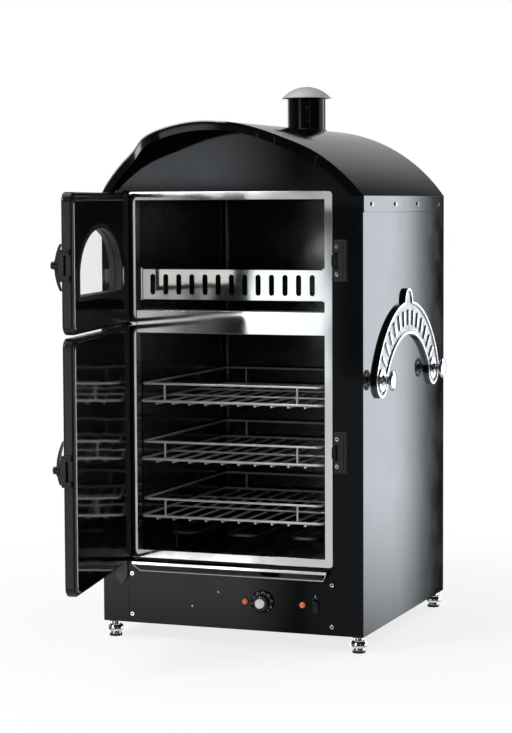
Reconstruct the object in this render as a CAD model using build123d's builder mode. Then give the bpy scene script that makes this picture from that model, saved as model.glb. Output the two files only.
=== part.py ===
from build123d import *

import os
from math import atan2, cos, radians, sin, sqrt

os.makedirs("parts", exist_ok=True)

# Baked potato oven for the counter: a display cabinet over a three-rack oven, under a barrel roof
# with a flue. Millimetres, +Z up, the front faces -Y and the origin is on the counter, midway
# between the four feet. Heights named *_RISE are measured from the bottom of the cabinet.

# Cabinet
WIDTH = 510.0
DEPTH = 520.0
FOOT_HEIGHT = 31.0
WALL_RISE = 790.0
SHEET = 1.5
FLANGE = 12.0
FIT = 0.2
PAN_UPTURN = 20.0

# Roof and its visor, which follows an ogee in plan
ROOF_RADIUS = 312.0
ROOF_SHEET = 2.0
LIP_DEPTH = 16.0
LIP_SHEET = 2.5
VISOR_REACH = 104.5
VISOR_SHOULDER = 98.4
SHOULDER_HALF = WIDTH / 2 - 133.4
VISOR_WAIST = 35.1
WAIST_HALF = WIDTH / 2 - 83.3
VISOR_TAIL = 3.0
CROWN_BEND = 900.0
SHOULDER_BEND = 66.0
WAIST_BEND = 60.0

# Eave strips
STRIP_HEIGHT = 30.0
STRIP_MARGIN = 11.0
STRIP_CORNER = 6.0
STRIP_SCREW_PITCH = (DEPTH - 92.5) / 3
SCREW_SHANK = 4.0
SCREW_HEAD = 8.0
SCREW_HEAD_HEIGHT = 2.2

# Opening, trim, liners and the divider between the compartments
POST_WIDTH = 71.5
OPENING_HALF = WIDTH / 2 - POST_WIDTH
OPENING_BOTTOM_RISE = 138.0
OPENING_TOP_RISE = 784.0
TRIM_WIDTH = 15.0
TRIM_PROUD = 2.0
TRIM_CORNER = 7.0
LINER_SHEET = 1.0
SLEEVE_DEPTH = 18.0
LINER_DEPTH = DEPTH - 95.0
LINER_CORNER = 10.0
OVEN_TOP_RISE = 540.0
DISPLAY_FLOOR_RISE = 583.0
DIVIDER_SHEET = 1.2
DIVIDER_RETURN = 48.0

# Slotted guard across the display
GUARD_SETBACK = 12.0
GUARD_SHEET = 1.5
GUARD_BOTTOM_RISE = 602.0
GUARD_HEIGHT = 55.0
GUARD_END_GAP = 2.0
SLOT_COUNT = 13
SLOT_END = 28.1
SLOT_PITCH = 2 * (OPENING_HALF - SLOT_END) / (SLOT_COUNT - 1)
SLOT_HEIGHT = 38.0
SLOT_WIDTH = 10.0
CHANNEL_SHEET = 1.5
CHANNEL_WIDTH = 8.0
CHANNEL_OVERHANG = 3.0

# Racks and their runners
RACK_RISES = {"lower": 201.0, "middle": 307.0, "upper": 414.6}
RACK_HALF = OPENING_HALF - 6.0
RACK_SETBACK = 3.0
RACK_DEPTH = LINER_DEPTH - 7.0
RACK_ROD = 5.0
RACK_CORNER = 9.0
GALLERY_HEIGHT = 32.3
GALLERY_HALF = RACK_HALF - 4.0
GALLERY_ROD = 4.4
POST_HALF = RACK_HALF - 48.0
RACK_WIRE = 4.0
WIRE_COUNT = 10
WIRE_END = 32.6
WIRE_PITCH = 2 * (RACK_HALF - WIRE_END) / (WIRE_COUNT - 1)
WIRE_BITE = 0.3
CROSS_RODS = 2
RUNNER_SHEET = 1.5
RUNNER_START = 25.0
RUNNER_LENGTH = LINER_DEPTH - 27.0
RUNNER_LEDGE = 10.0
RUNNER_TOP_MARGIN = 45.0
RUNNER_BOTTOM_MARGIN = 14.0
SLIDE_GAP = 0.2

# Heating element in the bottom of the oven
ELEMENT_ROD = 8.0
ELEMENT_RISE = 163.0
ELEMENT_BEND = 18.0
ELEMENT_SIDE_GAP = 33.5
ELEMENT_PITCH = 2 * (OPENING_HALF - ELEMENT_SIDE_GAP) / 5
ELEMENT_FRONT_GAP = 45.0
ELEMENT_BACK_GAP = 60.0
ELEMENT_INNER_GAP = 110.0
ELEMENT_TERMINAL = 25.0
ELEMENT_TAIL = 26.0
STOOL_RADIUS = 4.0
STOOL_END = 40.0

# Drip sill under the opening
SILL_TOP_RISE = 117.0
SILL_NOSE = 5.0
SILL_REACH = 16.0
SILL_BOTTOM_RISE = 98.0
SILL_HALF = OPENING_HALF + 6.5
SILL_TAPER = 10.0
SILL_SHEET = 1.2

# Control panel
FASCIA_HALF = WIDTH / 2 - 52.0
FASCIA_RISE = 99.0
FASCIA_LAP = 10.0
FASCIA_SCREW_HALF = FASCIA_HALF - 7.0
FASCIA_SCREW_RISES = (16.0, 92.0)
RIVET_SPOTS = ((-76.0, 38.5), (-24.0, 67.3))
RIVET_HEAD = 4.8
RIVET_HEIGHT = 1.2
RIVET_SHANK = 2.4
DIAL_X = FASCIA_HALF - 140.5
CONTROL_RISE = 53.0
DIAL_SKIRT = 44.0
DIAL_SKIRT_HEIGHT = 3.5
DIAL_GRIP = 31.0
DIAL_TAPER = 6.0
DIAL_DEPTH = 14.0
DIAL_EDGE = 1.5
DIAL_CAP = 19.0
DIAL_CAP_HEIGHT = 4.0
DIAL_CAP_EDGE = 1.2
DIAL_GAP = 0.4
DIAL_SHAFT = 6.0
SHAFT_HOLE_GAP = 2.0
SHAFT_END_GAP = 2.0
BORE_FIT = 0.05
THERMOSTAT_WIDTH = 44.0
THERMOSTAT_HEIGHT = 36.0
THERMOSTAT_DEPTH = 30.0
SWITCH_X = FASCIA_HALF - 38.4
LAMP_XS = {"heat": DIAL_X - 33.8, "power": SWITCH_X - 24.7}
LAMP_BEZEL = 12.6
LAMP_BEZEL_HEIGHT = 1.5
LAMP_STEM = 9.0
LAMP_STEM_LENGTH = 18.0
LAMP_LENS = 11.0
LAMP_LENS_HEIGHT = 6.0
LAMP_DOME = 3.0
SWITCH_WIDTH = 15.0
SWITCH_HEIGHT = 27.0
SWITCH_RIM = 2.0
SWITCH_BODY_DEPTH = 22.0
SWITCH_WELL_DEPTH = 14.0
SWITCH_WELL_WALL = 0.7
ROCKER_WIDTH = 9.6
ROCKER_HEIGHT = 19.0
ROCKER_TILT = 8.0
ROCKER_HEEL = 5.0
ROCKER_TIP = 6.5
ROCKER_DISH = 2.0
ROCKER_PIN = 2.4
ROCKER_PIN_DEPTH = 2.0

# Flue
FLUE_DIAMETER = 75.0
FLUE_WALL = 1.5
FLUE_BACK_GAP = 96.0
FLUE_TOP_RISE = 986.0
FLUE_BOX_HEIGHT = 30.0
FLUE_BOX_WIDTH = 110.0
FLUE_BOX_LENGTH = 100.0
FLUE_VENT_LENGTH = 45.0
CAP_DIAMETER = 98.0
CAP_LAP = 2.0
CAP_DOME = 23.0
CAP_SHEET = 1.5
CAP_LEGS = 3
CAP_LEG_SINK = 0.5
CAP_LEG_WIDTH = 12.0
CAP_LEG_DROP = 30.0

# Doors, shown swung open; the pivot axis runs up the middle of their thickness
DOOR_SWING = 79.0
PIVOT_INSET = 51.0
PIVOT_X = PIVOT_INSET - WIDTH / 2
DOOR_THICKNESS = 20.0
DOOR_START = -7.0
DOOR_OVERLAP = 12.5
DOOR_REACH = OPENING_HALF + DOOR_OVERLAP - PIVOT_X
DOOR_GAP = 1.0
DOOR_CORNER = 18.0
DOOR_EDGE = 4.5
DOOR_SHEET = 2.0
DOOR_STILE = 13.0
DOOR_RETURN = 20.0
PANEL_SHEET = 1.5
PANEL_INSET = 7.0
PANEL_CORNER = 13.0
LOWER_DOOR_RISES = (118.0, 553.5)
UPPER_DOOR_RISES = (558.5, 797.0)
WINDOW_CENTRE = (DOOR_START + DOOR_REACH) / 2 + 16.5
WINDOW_HALF = DOOR_REACH / 2 - 50.0
WINDOW_BOTTOM_RISE = 622.0
WINDOW_SPRING_RISE = 655.0
WINDOW_CROWN = 80.0
GASKET_WEB = 4.0
GASKET_LIP = 8.0
GASKET_LIP_HEIGHT = 1.8
GLASS_SHEET = 4.0
GLASS_BITE = 2.5

# Hinge brackets
HINGE_PLATE_WIDTH = 23.0
HINGE_PLATE_SHEET = 3.0
HINGE_PLATE_GAP = 1.0
HINGE_TAIL = 48.0
HINGE_POINT = 14.0
HINGE_EAR_RADIUS = 6.5
HINGE_EAR_SHEET = 4.0
HINGE_EAR_GAP = 0.5
HINGE_EAR_ROOT = 15.0
HINGE_PIN = 6.0
HINGE_PIN_LENGTH = 14.0
HINGE_PIN_GAP = 1.0
MIDDLE_PLATE_LAP = 24.0
TOP_PLATE_LAP = 36.0
TOP_PLATE_EDGE = 1.5

# Latches on the free edges of the doors, and their keepers on the right post
LATCH_RISES = {"upper": 675.0, "lower": 332.0}
LATCH_HEIGHT = 54.0
LATCH_EDGE_DEPTH = 8.5
LATCH_BACK = 5.0
LATCH_FACE = 3.0
LATCH_EDGE_PROUD = 1.2
LATCH_PLATE_HEIGHT = 40.0
LATCH_PLATE = 28.0
LATCH_CORNER = 4.0
LATCH_SLOT_HALF = 17.0
LATCH_SLOT_DEPTH = 9.0
LATCH_PIVOT_INSET = 13.0
HUB_DIAMETER = 17.0
HUB_HEIGHT = 4.5
SPINDLE = 8.0
LEVER_ARMS = {"upper": (36.0, 43.0), "lower": (50.0, 25.0)}
LEVER_TIPS = {"upper": (2.6, 2.6), "lower": (0.6, 6.5)}
LEVER_CROWN = 13.5
LEVER_THICKNESS = 4.5
LEVER_TIP_THICKNESS = 2.4
LEVER_WIDTH = 12.0
LEVER_TIP_WIDTH = 8.0
LEVER_TIP_CORNER = 3.5
LEVER_EYE = 19.0
LEVER_EYE_PROUD = 0.5
LEVER_KNOB = 13.0
LEVER_KNOB_HEIGHT = 7.0
LEVER_KNOB_EDGE = 1.5
KEEPER_INSET = 41.5
KEEPER_X = WIDTH / 2 - KEEPER_INSET
KEEPER_WIDTH = 27.0
KEEPER_HEIGHT = 75.0
KEEPER_CORNER = 4.0
KEEPER_SHEET = 3.0
KEEPER_SCREW_HALF = 24.5
KEEPER_SCREW_X = KEEPER_X - 6.5
STAPLE_X = KEEPER_X - 10.5
STAPLE_BAR = 5.0
STAPLE_HALF = 15.0
STAPLE_REACH = 13.5
STAPLE_LUG = 4.0
STAPLE_ROOT = 9.0
STAPLE_BAR_SINK = 1.0

# Cast arch and knobs on each side
ARCH_THICKNESS = 7.0
ARCH_OUTER_RADIUS = 221.0
ARCH_OUTER_RISE = 372.0
ARCH_INNER_RADIUS = 165.0
ARCH_INNER_RISE = 366.0
ARCH_FOOT_HALF = 164.0
ARCH_FOOT_RISE = 455.5
ARCH_FOOT_RADIUS = 34.0
ARCH_LUG_RADIUS = 24.0
ARCH_LUG_RISE = 593.5
ARCH_BORDER = 5.0
ARCH_RECESS = 3.0
ARCH_RIB_COUNT = 13
ARCH_RIB_STEP = 8.6
ARCH_RIB_LENGTH = 30.0
ARCH_RIB_WIDTH = 7.0
BOSS_RADIUS = 21.0
KNOB_STUD = 8.0
KNOB_STUD_LENGTH = 16.0
KNOB_NECK = 15.0
KNOB_HEAD = 38.0
KNOB_HEIGHT = 24.0
KNOB_HEAD_HEIGHT = 9.0
KNOB_FLARE = 3.0
KNOB_FLARE_HEIGHT = 4.0
KNOB_RIM = 3.0
KNOB_RIM_SLOPE = 2.0

# Feet
FOOT_X = WIDTH / 2 - 15.0
FOOT_Y = DEPTH / 2 - 20.0
PAD_RADIUS = 12.0
PAD_HEIGHT = 4.0
BALL_RADIUS = 16.0
BALL_CENTRE = 15.5
BALL_HALF_HEIGHT = 10.5
FOOT_NECK = 8.0
FOOT_FLANGE = 14.0
FOOT_FLANGE_HEIGHT = 3.0
FOOT_STUD = 8.0
FOOT_STUD_LENGTH = 14.0

# Back of the cabinet
LOUVRE_WIDTH = 70.0
LOUVRE_RADIUS = 7.0
LOUVRE_SHEET = 1.2
LOUVRE_PITCH = 22.0
LOUVRE_COLUMN = 200.0
LOUVRE_ROWS = 5
LOUVRE_RISE = 250.0
BOX_X = WIDTH / 2 - 105.0
BOX_RISE = 66.0
BOX_WIDTH = 96.0
BOX_HEIGHT = 64.0
BOX_DEPTH = 32.0
BOX_EDGE = 4.0
GLAND_HEX = 22.0
GLAND_HEX_HEIGHT = 5.0
GLAND_NUT = 20.0
GLAND_TAPER = 8.0
GLAND_LENGTH = 20.0
GLAND_BORE = 9.0

# Places worked out from the sizes above
FRONT = -DEPTH / 2
BACK = DEPTH / 2
BASE = FOOT_HEIGHT
EAVE = BASE + WALL_RISE
ROOF_CENTRE = EAVE - sqrt(ROOF_RADIUS**2 - (WIDTH / 2) ** 2)
OPENING_BOTTOM = BASE + OPENING_BOTTOM_RISE
OPENING_TOP = BASE + OPENING_TOP_RISE
OPENING_MIDDLE = (OPENING_BOTTOM + OPENING_TOP) / 2
OPENING_HEIGHT = OPENING_TOP - OPENING_BOTTOM
LINER_FRONT = FRONT + SLEEVE_DEPTH
LINER_BACK = LINER_FRONT + LINER_DEPTH
PIVOT_Y = FRONT - TRIM_PROUD - DOOR_GAP - PANEL_SHEET - DOOR_THICKNESS / 2
CONTROL_Z = BASE + CONTROL_RISE
FLUE_Y = BACK - FLUE_BACK_GAP
FLUE_BOX_BOTTOM = OPENING_TOP + LINER_SHEET
FLUE_BOX_TOP = FLUE_BOX_BOTTOM + FLUE_BOX_HEIGHT
OUTSIDE = WIDTH / 2
STRIP_SCREWS = [(row - 1.5) * STRIP_SCREW_PITCH for row in range(4)]
HALF_TURN = 180.0

swing = radians(DOOR_SWING)
along_door = (cos(swing), -sin(swing), 0)
out_of_door = (-sin(swing), -cos(swing), 0)
DOOR_PLANE = Plane(origin=(PIVOT_X, PIVOT_Y, 0), x_dir=along_door, z_dir=out_of_door)
DOOR_FACE = DOOR_THICKNESS / 2


def upright(y):
    """Plane at one depth, seen from the front: x to the right, y up."""
    return Plane.XZ.offset(-y)


def sideways(x):
    """Plane at one distance to the right: x towards the back, y up."""
    return Plane.YZ.offset(x)


def roof_band(outer, inner):
    """Barrel section above the eaves between two radii, on an upright sketch."""
    with Locations((0, ROOF_CENTRE)):
        Circle(outer)
        Circle(inner, mode=Mode.SUBTRACT)
    with Locations((0, EAVE + ROOF_RADIUS)):
        Rectangle(WIDTH, 2 * ROOF_RADIUS, mode=Mode.INTERSECT)


def visor_plan(shift):
    """Plan of the roof with its ogee front edge moved back by a distance."""
    front = FRONT + shift
    half = [(SHOULDER_HALF, front - VISOR_SHOULDER), (WAIST_HALF, front - VISOR_WAIST)]
    half.append((OUTSIDE, front - VISOR_TAIL))
    left = [(-x, y) for x, y in reversed(half)]
    bends = [WAIST_BEND, SHOULDER_BEND, CROWN_BEND, SHOULDER_BEND, WAIST_BEND]
    with BuildLine() as outline:
        edge = FilletPolyline(*left, (0, front - VISOR_REACH), *half, radius=bends)
        Polyline(edge @ 1, (OUTSIDE, BACK), (-OUTSIDE, BACK), edge @ 0)
    make_face(outline.edges())


def window_outline(grow):
    """Arched window outline, grown outwards by a distance, on a door sketch."""
    half = WINDOW_HALF + grow
    bottom = BASE + WINDOW_BOTTOM_RISE - grow
    spring = BASE + WINDOW_SPRING_RISE
    left = WINDOW_CENTRE - half
    right = WINDOW_CENTRE + half
    crown = WINDOW_CROWN + grow
    with BuildLine() as outline:
        Polyline((left, spring), (left, bottom), (right, bottom), (right, spring))
        EllipticalCenterArc((WINDOW_CENTRE, spring), half, crown, 0, arc_size=HALF_TURN)
    make_face(outline.edges())


# Base pan: a folded tray that carries the feet
with BuildPart() as base_pan:
    pan_width = WIDTH - 2 * (SHEET + FIT)
    pan_depth = DEPTH - 4 * SHEET
    with BuildSketch(Plane.XY.offset(BASE)):
        Rectangle(pan_width, pan_depth)
    extrude(amount=PAN_UPTURN)
    with BuildSketch(Plane.XY.offset(BASE + SHEET)):
        Rectangle(pan_width - 2 * SHEET, pan_depth - 2 * SHEET)
    extrude(amount=PAN_UPTURN, mode=Mode.SUBTRACT)
    with BuildSketch(Plane.XY.offset(BASE)):
        with GridLocations(2 * FOOT_X, 2 * FOOT_Y, 2, 2):
            Circle(FOOT_STUD / 2 + FIT)
    extrude(amount=SHEET, mode=Mode.SUBTRACT)
base_pan.part.label = "base_pan"
export_step(base_pan.part, "parts/base_pan.step")

# Side panels: sheets with turned front and back flanges
for side, sign in (("left", -1), ("right", 1)):
    with BuildPart() as side_panel:
        with BuildSketch(Plane.XY.offset(BASE)):
            with Locations((sign * (OUTSIDE - FLANGE / 2), 0)):
                Rectangle(FLANGE, DEPTH - 2 * SHEET)
            with Locations((sign * (OUTSIDE - SHEET - FLANGE / 2), 0)):
                Rectangle(FLANGE, DEPTH - 4 * SHEET, mode=Mode.SUBTRACT)
        extrude(amount=WALL_RISE)
        with BuildSketch(sideways(sign * OUTSIDE)):
            with GridLocations(2 * ARCH_FOOT_HALF, 0, 2, 1):
                with Locations((0, BASE + ARCH_FOOT_RISE)):
                    Circle(KNOB_STUD / 2 + FIT)
            with Locations(*[(y, EAVE - STRIP_HEIGHT / 2) for y in STRIP_SCREWS]):
                Circle(SCREW_SHANK / 2 + FIT)
        extrude(amount=-sign * SHEET, mode=Mode.SUBTRACT)
    side_panel.part.label = f"side_panel_{side}"
    export_step(side_panel.part, f"parts/side_panel_{side}.step")

# Front frame: posts and rails round the door opening and the control panel
with BuildPart() as front_frame:
    with BuildSketch(upright(FRONT)):
        with Locations((0, (BASE + EAVE) / 2)):
            Rectangle(WIDTH, WALL_RISE)
        with Locations((0, OPENING_MIDDLE)):
            margin = 2 * (LINER_SHEET + FIT)
            Rectangle(2 * OPENING_HALF + margin, OPENING_HEIGHT + margin, mode=Mode.SUBTRACT)
        with Locations((0, BASE)):
            Rectangle(2 * (FASCIA_HALF + FIT), 2 * (FASCIA_RISE + FIT), mode=Mode.SUBTRACT)
    extrude(amount=-SHEET)
    with BuildSketch(upright(FRONT + SHEET)):
        with Locations((0, BASE + FASCIA_RISE / 2)):
            Rectangle(2 * (FASCIA_HALF + FASCIA_LAP), FASCIA_RISE)
        with Locations((0, BASE + FASCIA_RISE)):
            Rectangle(2 * (FASCIA_HALF + FASCIA_LAP), 2 * FASCIA_LAP)
        with Locations((0, BASE)):
            inner = FASCIA_HALF - FASCIA_LAP
            Rectangle(2 * inner, 2 * (FASCIA_RISE - FASCIA_LAP), mode=Mode.SUBTRACT)
    extrude(amount=-SHEET)
front_frame.part.label = "front_frame"
export_step(front_frame.part, "parts/front_frame.step")

# Arched panels that close the roof at the front and the back
for name, y in (("arch_front", FRONT), ("arch_back", BACK - SHEET)):
    with BuildPart() as arch_panel:
        with BuildSketch(upright(y)):
            with Locations((0, ROOF_CENTRE)):
                Circle(ROOF_RADIUS - ROOF_SHEET - FIT)
            with Locations((0, EAVE + ROOF_RADIUS)):
                Rectangle(WIDTH, 2 * ROOF_RADIUS, mode=Mode.INTERSECT)
        extrude(amount=-SHEET)
    arch_panel.part.label = name
    export_step(arch_panel.part, f"parts/{name}.step")

# Pressed louvre, repeated on the back panel
with BuildPart() as louvre:
    with BuildSketch(sideways(-LOUVRE_WIDTH / 2)):
        Circle(LOUVRE_RADIUS)
        with Locations((LOUVRE_RADIUS / 2, LOUVRE_RADIUS / 2)):
            Rectangle(LOUVRE_RADIUS, LOUVRE_RADIUS, mode=Mode.INTERSECT)
    extrude(amount=LOUVRE_WIDTH)
    with BuildSketch(sideways(-LOUVRE_WIDTH / 2 + LOUVRE_SHEET)):
        Circle(LOUVRE_RADIUS - LOUVRE_SHEET)
    extrude(amount=LOUVRE_WIDTH - 2 * LOUVRE_SHEET, mode=Mode.SUBTRACT)

# Back panel with its louvres
louvre_spots = []
for column in (-0.5, 0.5):
    for row in range(LOUVRE_ROWS):
        louvre_spots.append((column * LOUVRE_COLUMN, BASE + LOUVRE_RISE + row * LOUVRE_PITCH))
with BuildPart() as back_panel:
    with BuildSketch(upright(BACK - SHEET)):
        with Locations((0, (BASE + EAVE) / 2)):
            Rectangle(WIDTH, WALL_RISE)
        slot_height = LOUVRE_RADIUS - LOUVRE_SHEET
        with Locations(*[(x, z + slot_height / 2) for x, z in louvre_spots]):
            Rectangle(LOUVRE_WIDTH - 2 * LOUVRE_SHEET, slot_height, mode=Mode.SUBTRACT)
        with Locations((BOX_X, BASE + BOX_RISE)):
            Circle(GLAND_BORE, mode=Mode.SUBTRACT)
    extrude(amount=-SHEET)
    with Locations(*[(x, BACK, z) for x, z in louvre_spots]):
        add(louvre.part)
back_panel.part.label = "back_panel"
export_step(back_panel.part, "parts/back_panel.step")

# Turned lip along the front edge of the roof
with BuildPart() as roof_lip:
    with BuildSketch(upright(FRONT - VISOR_REACH - LIP_SHEET)):
        roof_band(ROOF_RADIUS, ROOF_RADIUS - LIP_DEPTH)
    extrude(amount=-DEPTH)
    with BuildSketch(Plane.XY.offset(EAVE)):
        visor_plan(0)
    extrude(amount=ROOF_RADIUS, mode=Mode.INTERSECT)
    with BuildSketch(Plane.XY.offset(EAVE)):
        visor_plan(LIP_SHEET)
    extrude(amount=ROOF_RADIUS, mode=Mode.SUBTRACT)

# Roof skin
with BuildPart() as roof:
    with BuildSketch(upright(FRONT - VISOR_REACH - LIP_SHEET)):
        roof_band(ROOF_RADIUS, ROOF_RADIUS - ROOF_SHEET)
    extrude(amount=-(DEPTH + VISOR_REACH + LIP_SHEET))
    with BuildSketch(Plane.XY.offset(EAVE)):
        visor_plan(0)
    extrude(amount=ROOF_RADIUS, mode=Mode.INTERSECT)
    add(roof_lip.part)
    with BuildSketch(Plane.XY.offset(EAVE)):
        with Locations((0, FLUE_Y)):
            Circle(FLUE_DIAMETER / 2 + FIT)
    extrude(amount=ROOF_RADIUS, mode=Mode.SUBTRACT)
roof.part.label = "roof"
export_step(roof.part, "parts/roof.step")

# Eave strips that fasten the roof to the side panels
for side, sign in (("left", -1), ("right", 1)):
    with BuildPart() as eave_strip:
        with BuildSketch(sideways(sign * OUTSIDE)):
            with Locations((0, EAVE - STRIP_HEIGHT / 2)):
                RectangleRounded(DEPTH - 2 * STRIP_MARGIN, STRIP_HEIGHT, STRIP_CORNER)
            with Locations(*[(y, EAVE - STRIP_HEIGHT / 2) for y in STRIP_SCREWS]):
                Circle(SCREW_SHANK / 2 + FIT, mode=Mode.SUBTRACT)
        extrude(amount=sign * SHEET)
    eave_strip.part.label = f"eave_strip_{side}"
    export_step(eave_strip.part, f"parts/eave_strip_{side}.step")

# Screws through the eave strips
with BuildPart() as eave_screws:
    for sign in (-1, 1):
        for y in STRIP_SCREWS:
            spot = (sign * (OUTSIDE + SHEET), y, EAVE - STRIP_HEIGHT / 2)
            with BuildSketch(Plane(origin=spot, x_dir=(0, 1, 0), z_dir=(sign, 0, 0))):
                Circle(SCREW_HEAD / 2)
            extrude(amount=SCREW_HEAD_HEIGHT)
            with BuildSketch(Plane(origin=spot, x_dir=(0, 1, 0), z_dir=(sign, 0, 0))):
                Circle(SCREW_SHANK / 2)
            extrude(amount=-(2 * SHEET + SCREW_SHANK))
eave_screws.part.label = "eave_screws"
export_step(eave_screws.part, "parts/eave_screws.step")

# Bright trim round the opening, with a sleeve that turns back into it
with BuildPart() as door_trim:
    with BuildSketch(upright(FRONT)):
        with Locations((0, OPENING_MIDDLE)):
            trim_size = (2 * (OPENING_HALF + TRIM_WIDTH), OPENING_HEIGHT + 2 * TRIM_WIDTH)
            RectangleRounded(*trim_size, TRIM_CORNER)
    extrude(amount=TRIM_PROUD)
    fillet(door_trim.faces().sort_by(Axis.Y)[0].edges(), TRIM_PROUD / 2)
    with BuildSketch(upright(FRONT)):
        with Locations((0, OPENING_MIDDLE)):
            sleeve = 2 * LINER_SHEET
            Rectangle(2 * OPENING_HALF + sleeve, OPENING_HEIGHT + sleeve)
    extrude(amount=-SLEEVE_DEPTH)
    with BuildSketch(upright(FRONT - TRIM_PROUD)):
        with Locations((0, OPENING_MIDDLE)):
            Rectangle(2 * OPENING_HALF, OPENING_HEIGHT)
    extrude(amount=-(SLEEVE_DEPTH + TRIM_PROUD), mode=Mode.SUBTRACT)
door_trim.part.label = "door_trim"
export_step(door_trim.part, "parts/door_trim.step")

# Liners: open-fronted boxes with rounded rear corners
compartments = {
    "oven_liner": (OPENING_BOTTOM, BASE + OVEN_TOP_RISE),
    "display_liner": (BASE + DISPLAY_FLOOR_RISE, OPENING_TOP),
}
for name, (bottom, top) in compartments.items():
    with BuildPart() as liner:
        with BuildSketch(Plane.XY.offset(bottom - LINER_SHEET)) as outside:
            with Locations((0, (LINER_FRONT + LINER_BACK + LINER_SHEET) / 2)):
                Rectangle(2 * (OPENING_HALF + LINER_SHEET), LINER_DEPTH + LINER_SHEET)
            rear_corners = outside.vertices().group_by(Axis.Y)[-1]
            fillet(rear_corners, LINER_CORNER + LINER_SHEET)
        extrude(amount=top - bottom + 2 * LINER_SHEET)
        with BuildSketch(Plane.XY.offset(bottom)) as inside:
            with Locations((0, (LINER_FRONT + LINER_BACK) / 2)):
                Rectangle(2 * OPENING_HALF, LINER_DEPTH)
            rear_corners = inside.vertices().group_by(Axis.Y)[-1]
            fillet(rear_corners, LINER_CORNER)
        extrude(amount=top - bottom, mode=Mode.SUBTRACT)
        if name == "display_liner":
            with BuildSketch(Plane.XY.offset(top)):
                with Locations((0, LINER_BACK - LINER_CORNER - FLUE_VENT_LENGTH / 2)):
                    Rectangle(FLUE_DIAMETER, FLUE_VENT_LENGTH)
            extrude(amount=LINER_SHEET, mode=Mode.SUBTRACT)
        else:
            with BuildSketch(upright(LINER_BACK)):
                with GridLocations(2 * ELEMENT_TERMINAL, 0, 2, 1):
                    with Locations((0, BASE + ELEMENT_RISE)):
                        Circle(ELEMENT_ROD / 2 + FIT)
            extrude(amount=-LINER_SHEET, mode=Mode.SUBTRACT)
    liner.part.label = name
    export_step(liner.part, f"parts/{name}.step")

# Divider: a folded channel across the front, between the two compartments
with BuildPart() as divider:
    divider_bottom = BASE + OVEN_TOP_RISE + LINER_SHEET
    divider_top = BASE + DISPLAY_FLOOR_RISE - LINER_SHEET
    divider_middle = (divider_bottom + divider_top) / 2
    with BuildSketch(sideways(-OPENING_HALF + FIT)):
        with Locations((FRONT + DIVIDER_RETURN / 2, divider_middle)):
            Rectangle(DIVIDER_RETURN, divider_top - divider_bottom)
        with Locations((FRONT + DIVIDER_SHEET + DIVIDER_RETURN / 2, divider_middle)):
            hollow = divider_top - divider_bottom - 2 * DIVIDER_SHEET
            Rectangle(DIVIDER_RETURN, hollow, mode=Mode.SUBTRACT)
    extrude(amount=2 * (OPENING_HALF - FIT))
divider.part.label = "divider"
export_step(divider.part, "parts/divider.step")

# Slotted guard and the two channels that hold its ends
GUARD_FRONT = FRONT + GUARD_SETBACK
GUARD_BOTTOM = BASE + GUARD_BOTTOM_RISE
with BuildPart() as guard_rail:
    with BuildSketch(upright(GUARD_FRONT)):
        with Locations((0, GUARD_BOTTOM + GUARD_HEIGHT / 2)):
            Rectangle(2 * (OPENING_HALF - GUARD_END_GAP), GUARD_HEIGHT)
            with GridLocations(SLOT_PITCH, 0, SLOT_COUNT, 1):
                SlotOverall(SLOT_HEIGHT, SLOT_WIDTH, rotation=90, mode=Mode.SUBTRACT)
    extrude(amount=-GUARD_SHEET)
guard_rail.part.label = "guard_rail"
export_step(guard_rail.part, "parts/guard_rail.step")

with BuildPart() as guard_channels:
    channel_depth = GUARD_SHEET + 2 * (CHANNEL_SHEET + FIT)
    channel_y = GUARD_FRONT + GUARD_SHEET / 2
    channel_bottom = GUARD_BOTTOM - FIT - CHANNEL_SHEET
    channel_height = GUARD_HEIGHT + CHANNEL_OVERHANG + FIT + CHANNEL_SHEET
    for sign in (-1, 1):
        with BuildSketch(Plane.XY.offset(channel_bottom)):
            with Locations((sign * (OPENING_HALF - CHANNEL_WIDTH / 2), channel_y)):
                Rectangle(CHANNEL_WIDTH, channel_depth)
        extrude(amount=channel_height)
        with BuildSketch(Plane.XY.offset(channel_bottom + CHANNEL_SHEET)):
            groove_x = sign * (OPENING_HALF - CHANNEL_SHEET - CHANNEL_WIDTH / 2)
            with Locations((groove_x, channel_y)):
                Rectangle(CHANNEL_WIDTH, GUARD_SHEET + 2 * FIT)
        extrude(amount=channel_height, mode=Mode.SUBTRACT)
guard_channels.part.label = "guard_channels"
export_step(guard_channels.part, "parts/guard_channels.step")

# Rack runners: side plates with a ledge under each rack
lowest = BASE + min(RACK_RISES.values()) - RUNNER_BOTTOM_MARGIN
highest = BASE + max(RACK_RISES.values()) + RUNNER_TOP_MARGIN
RUNNER_FRONT = FRONT + RUNNER_START
for side, sign in (("left", -1), ("right", 1)):
    with BuildPart() as runner:
        with BuildSketch(upright(RUNNER_FRONT)):
            with Locations((sign * (OPENING_HALF - RUNNER_SHEET / 2), (lowest + highest) / 2)):
                Rectangle(RUNNER_SHEET, highest - lowest)
            for rise in RACK_RISES.values():
                ledge_z = BASE + rise - RACK_ROD / 2 - SLIDE_GAP - RUNNER_SHEET / 2
                with Locations((sign * (OPENING_HALF - RUNNER_LEDGE / 2), ledge_z)):
                    Rectangle(RUNNER_LEDGE, RUNNER_SHEET)
        extrude(amount=-RUNNER_LENGTH)
    runner.part.label = f"rack_runner_{side}"
    export_step(runner.part, f"parts/rack_runner_{side}.step")

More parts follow.
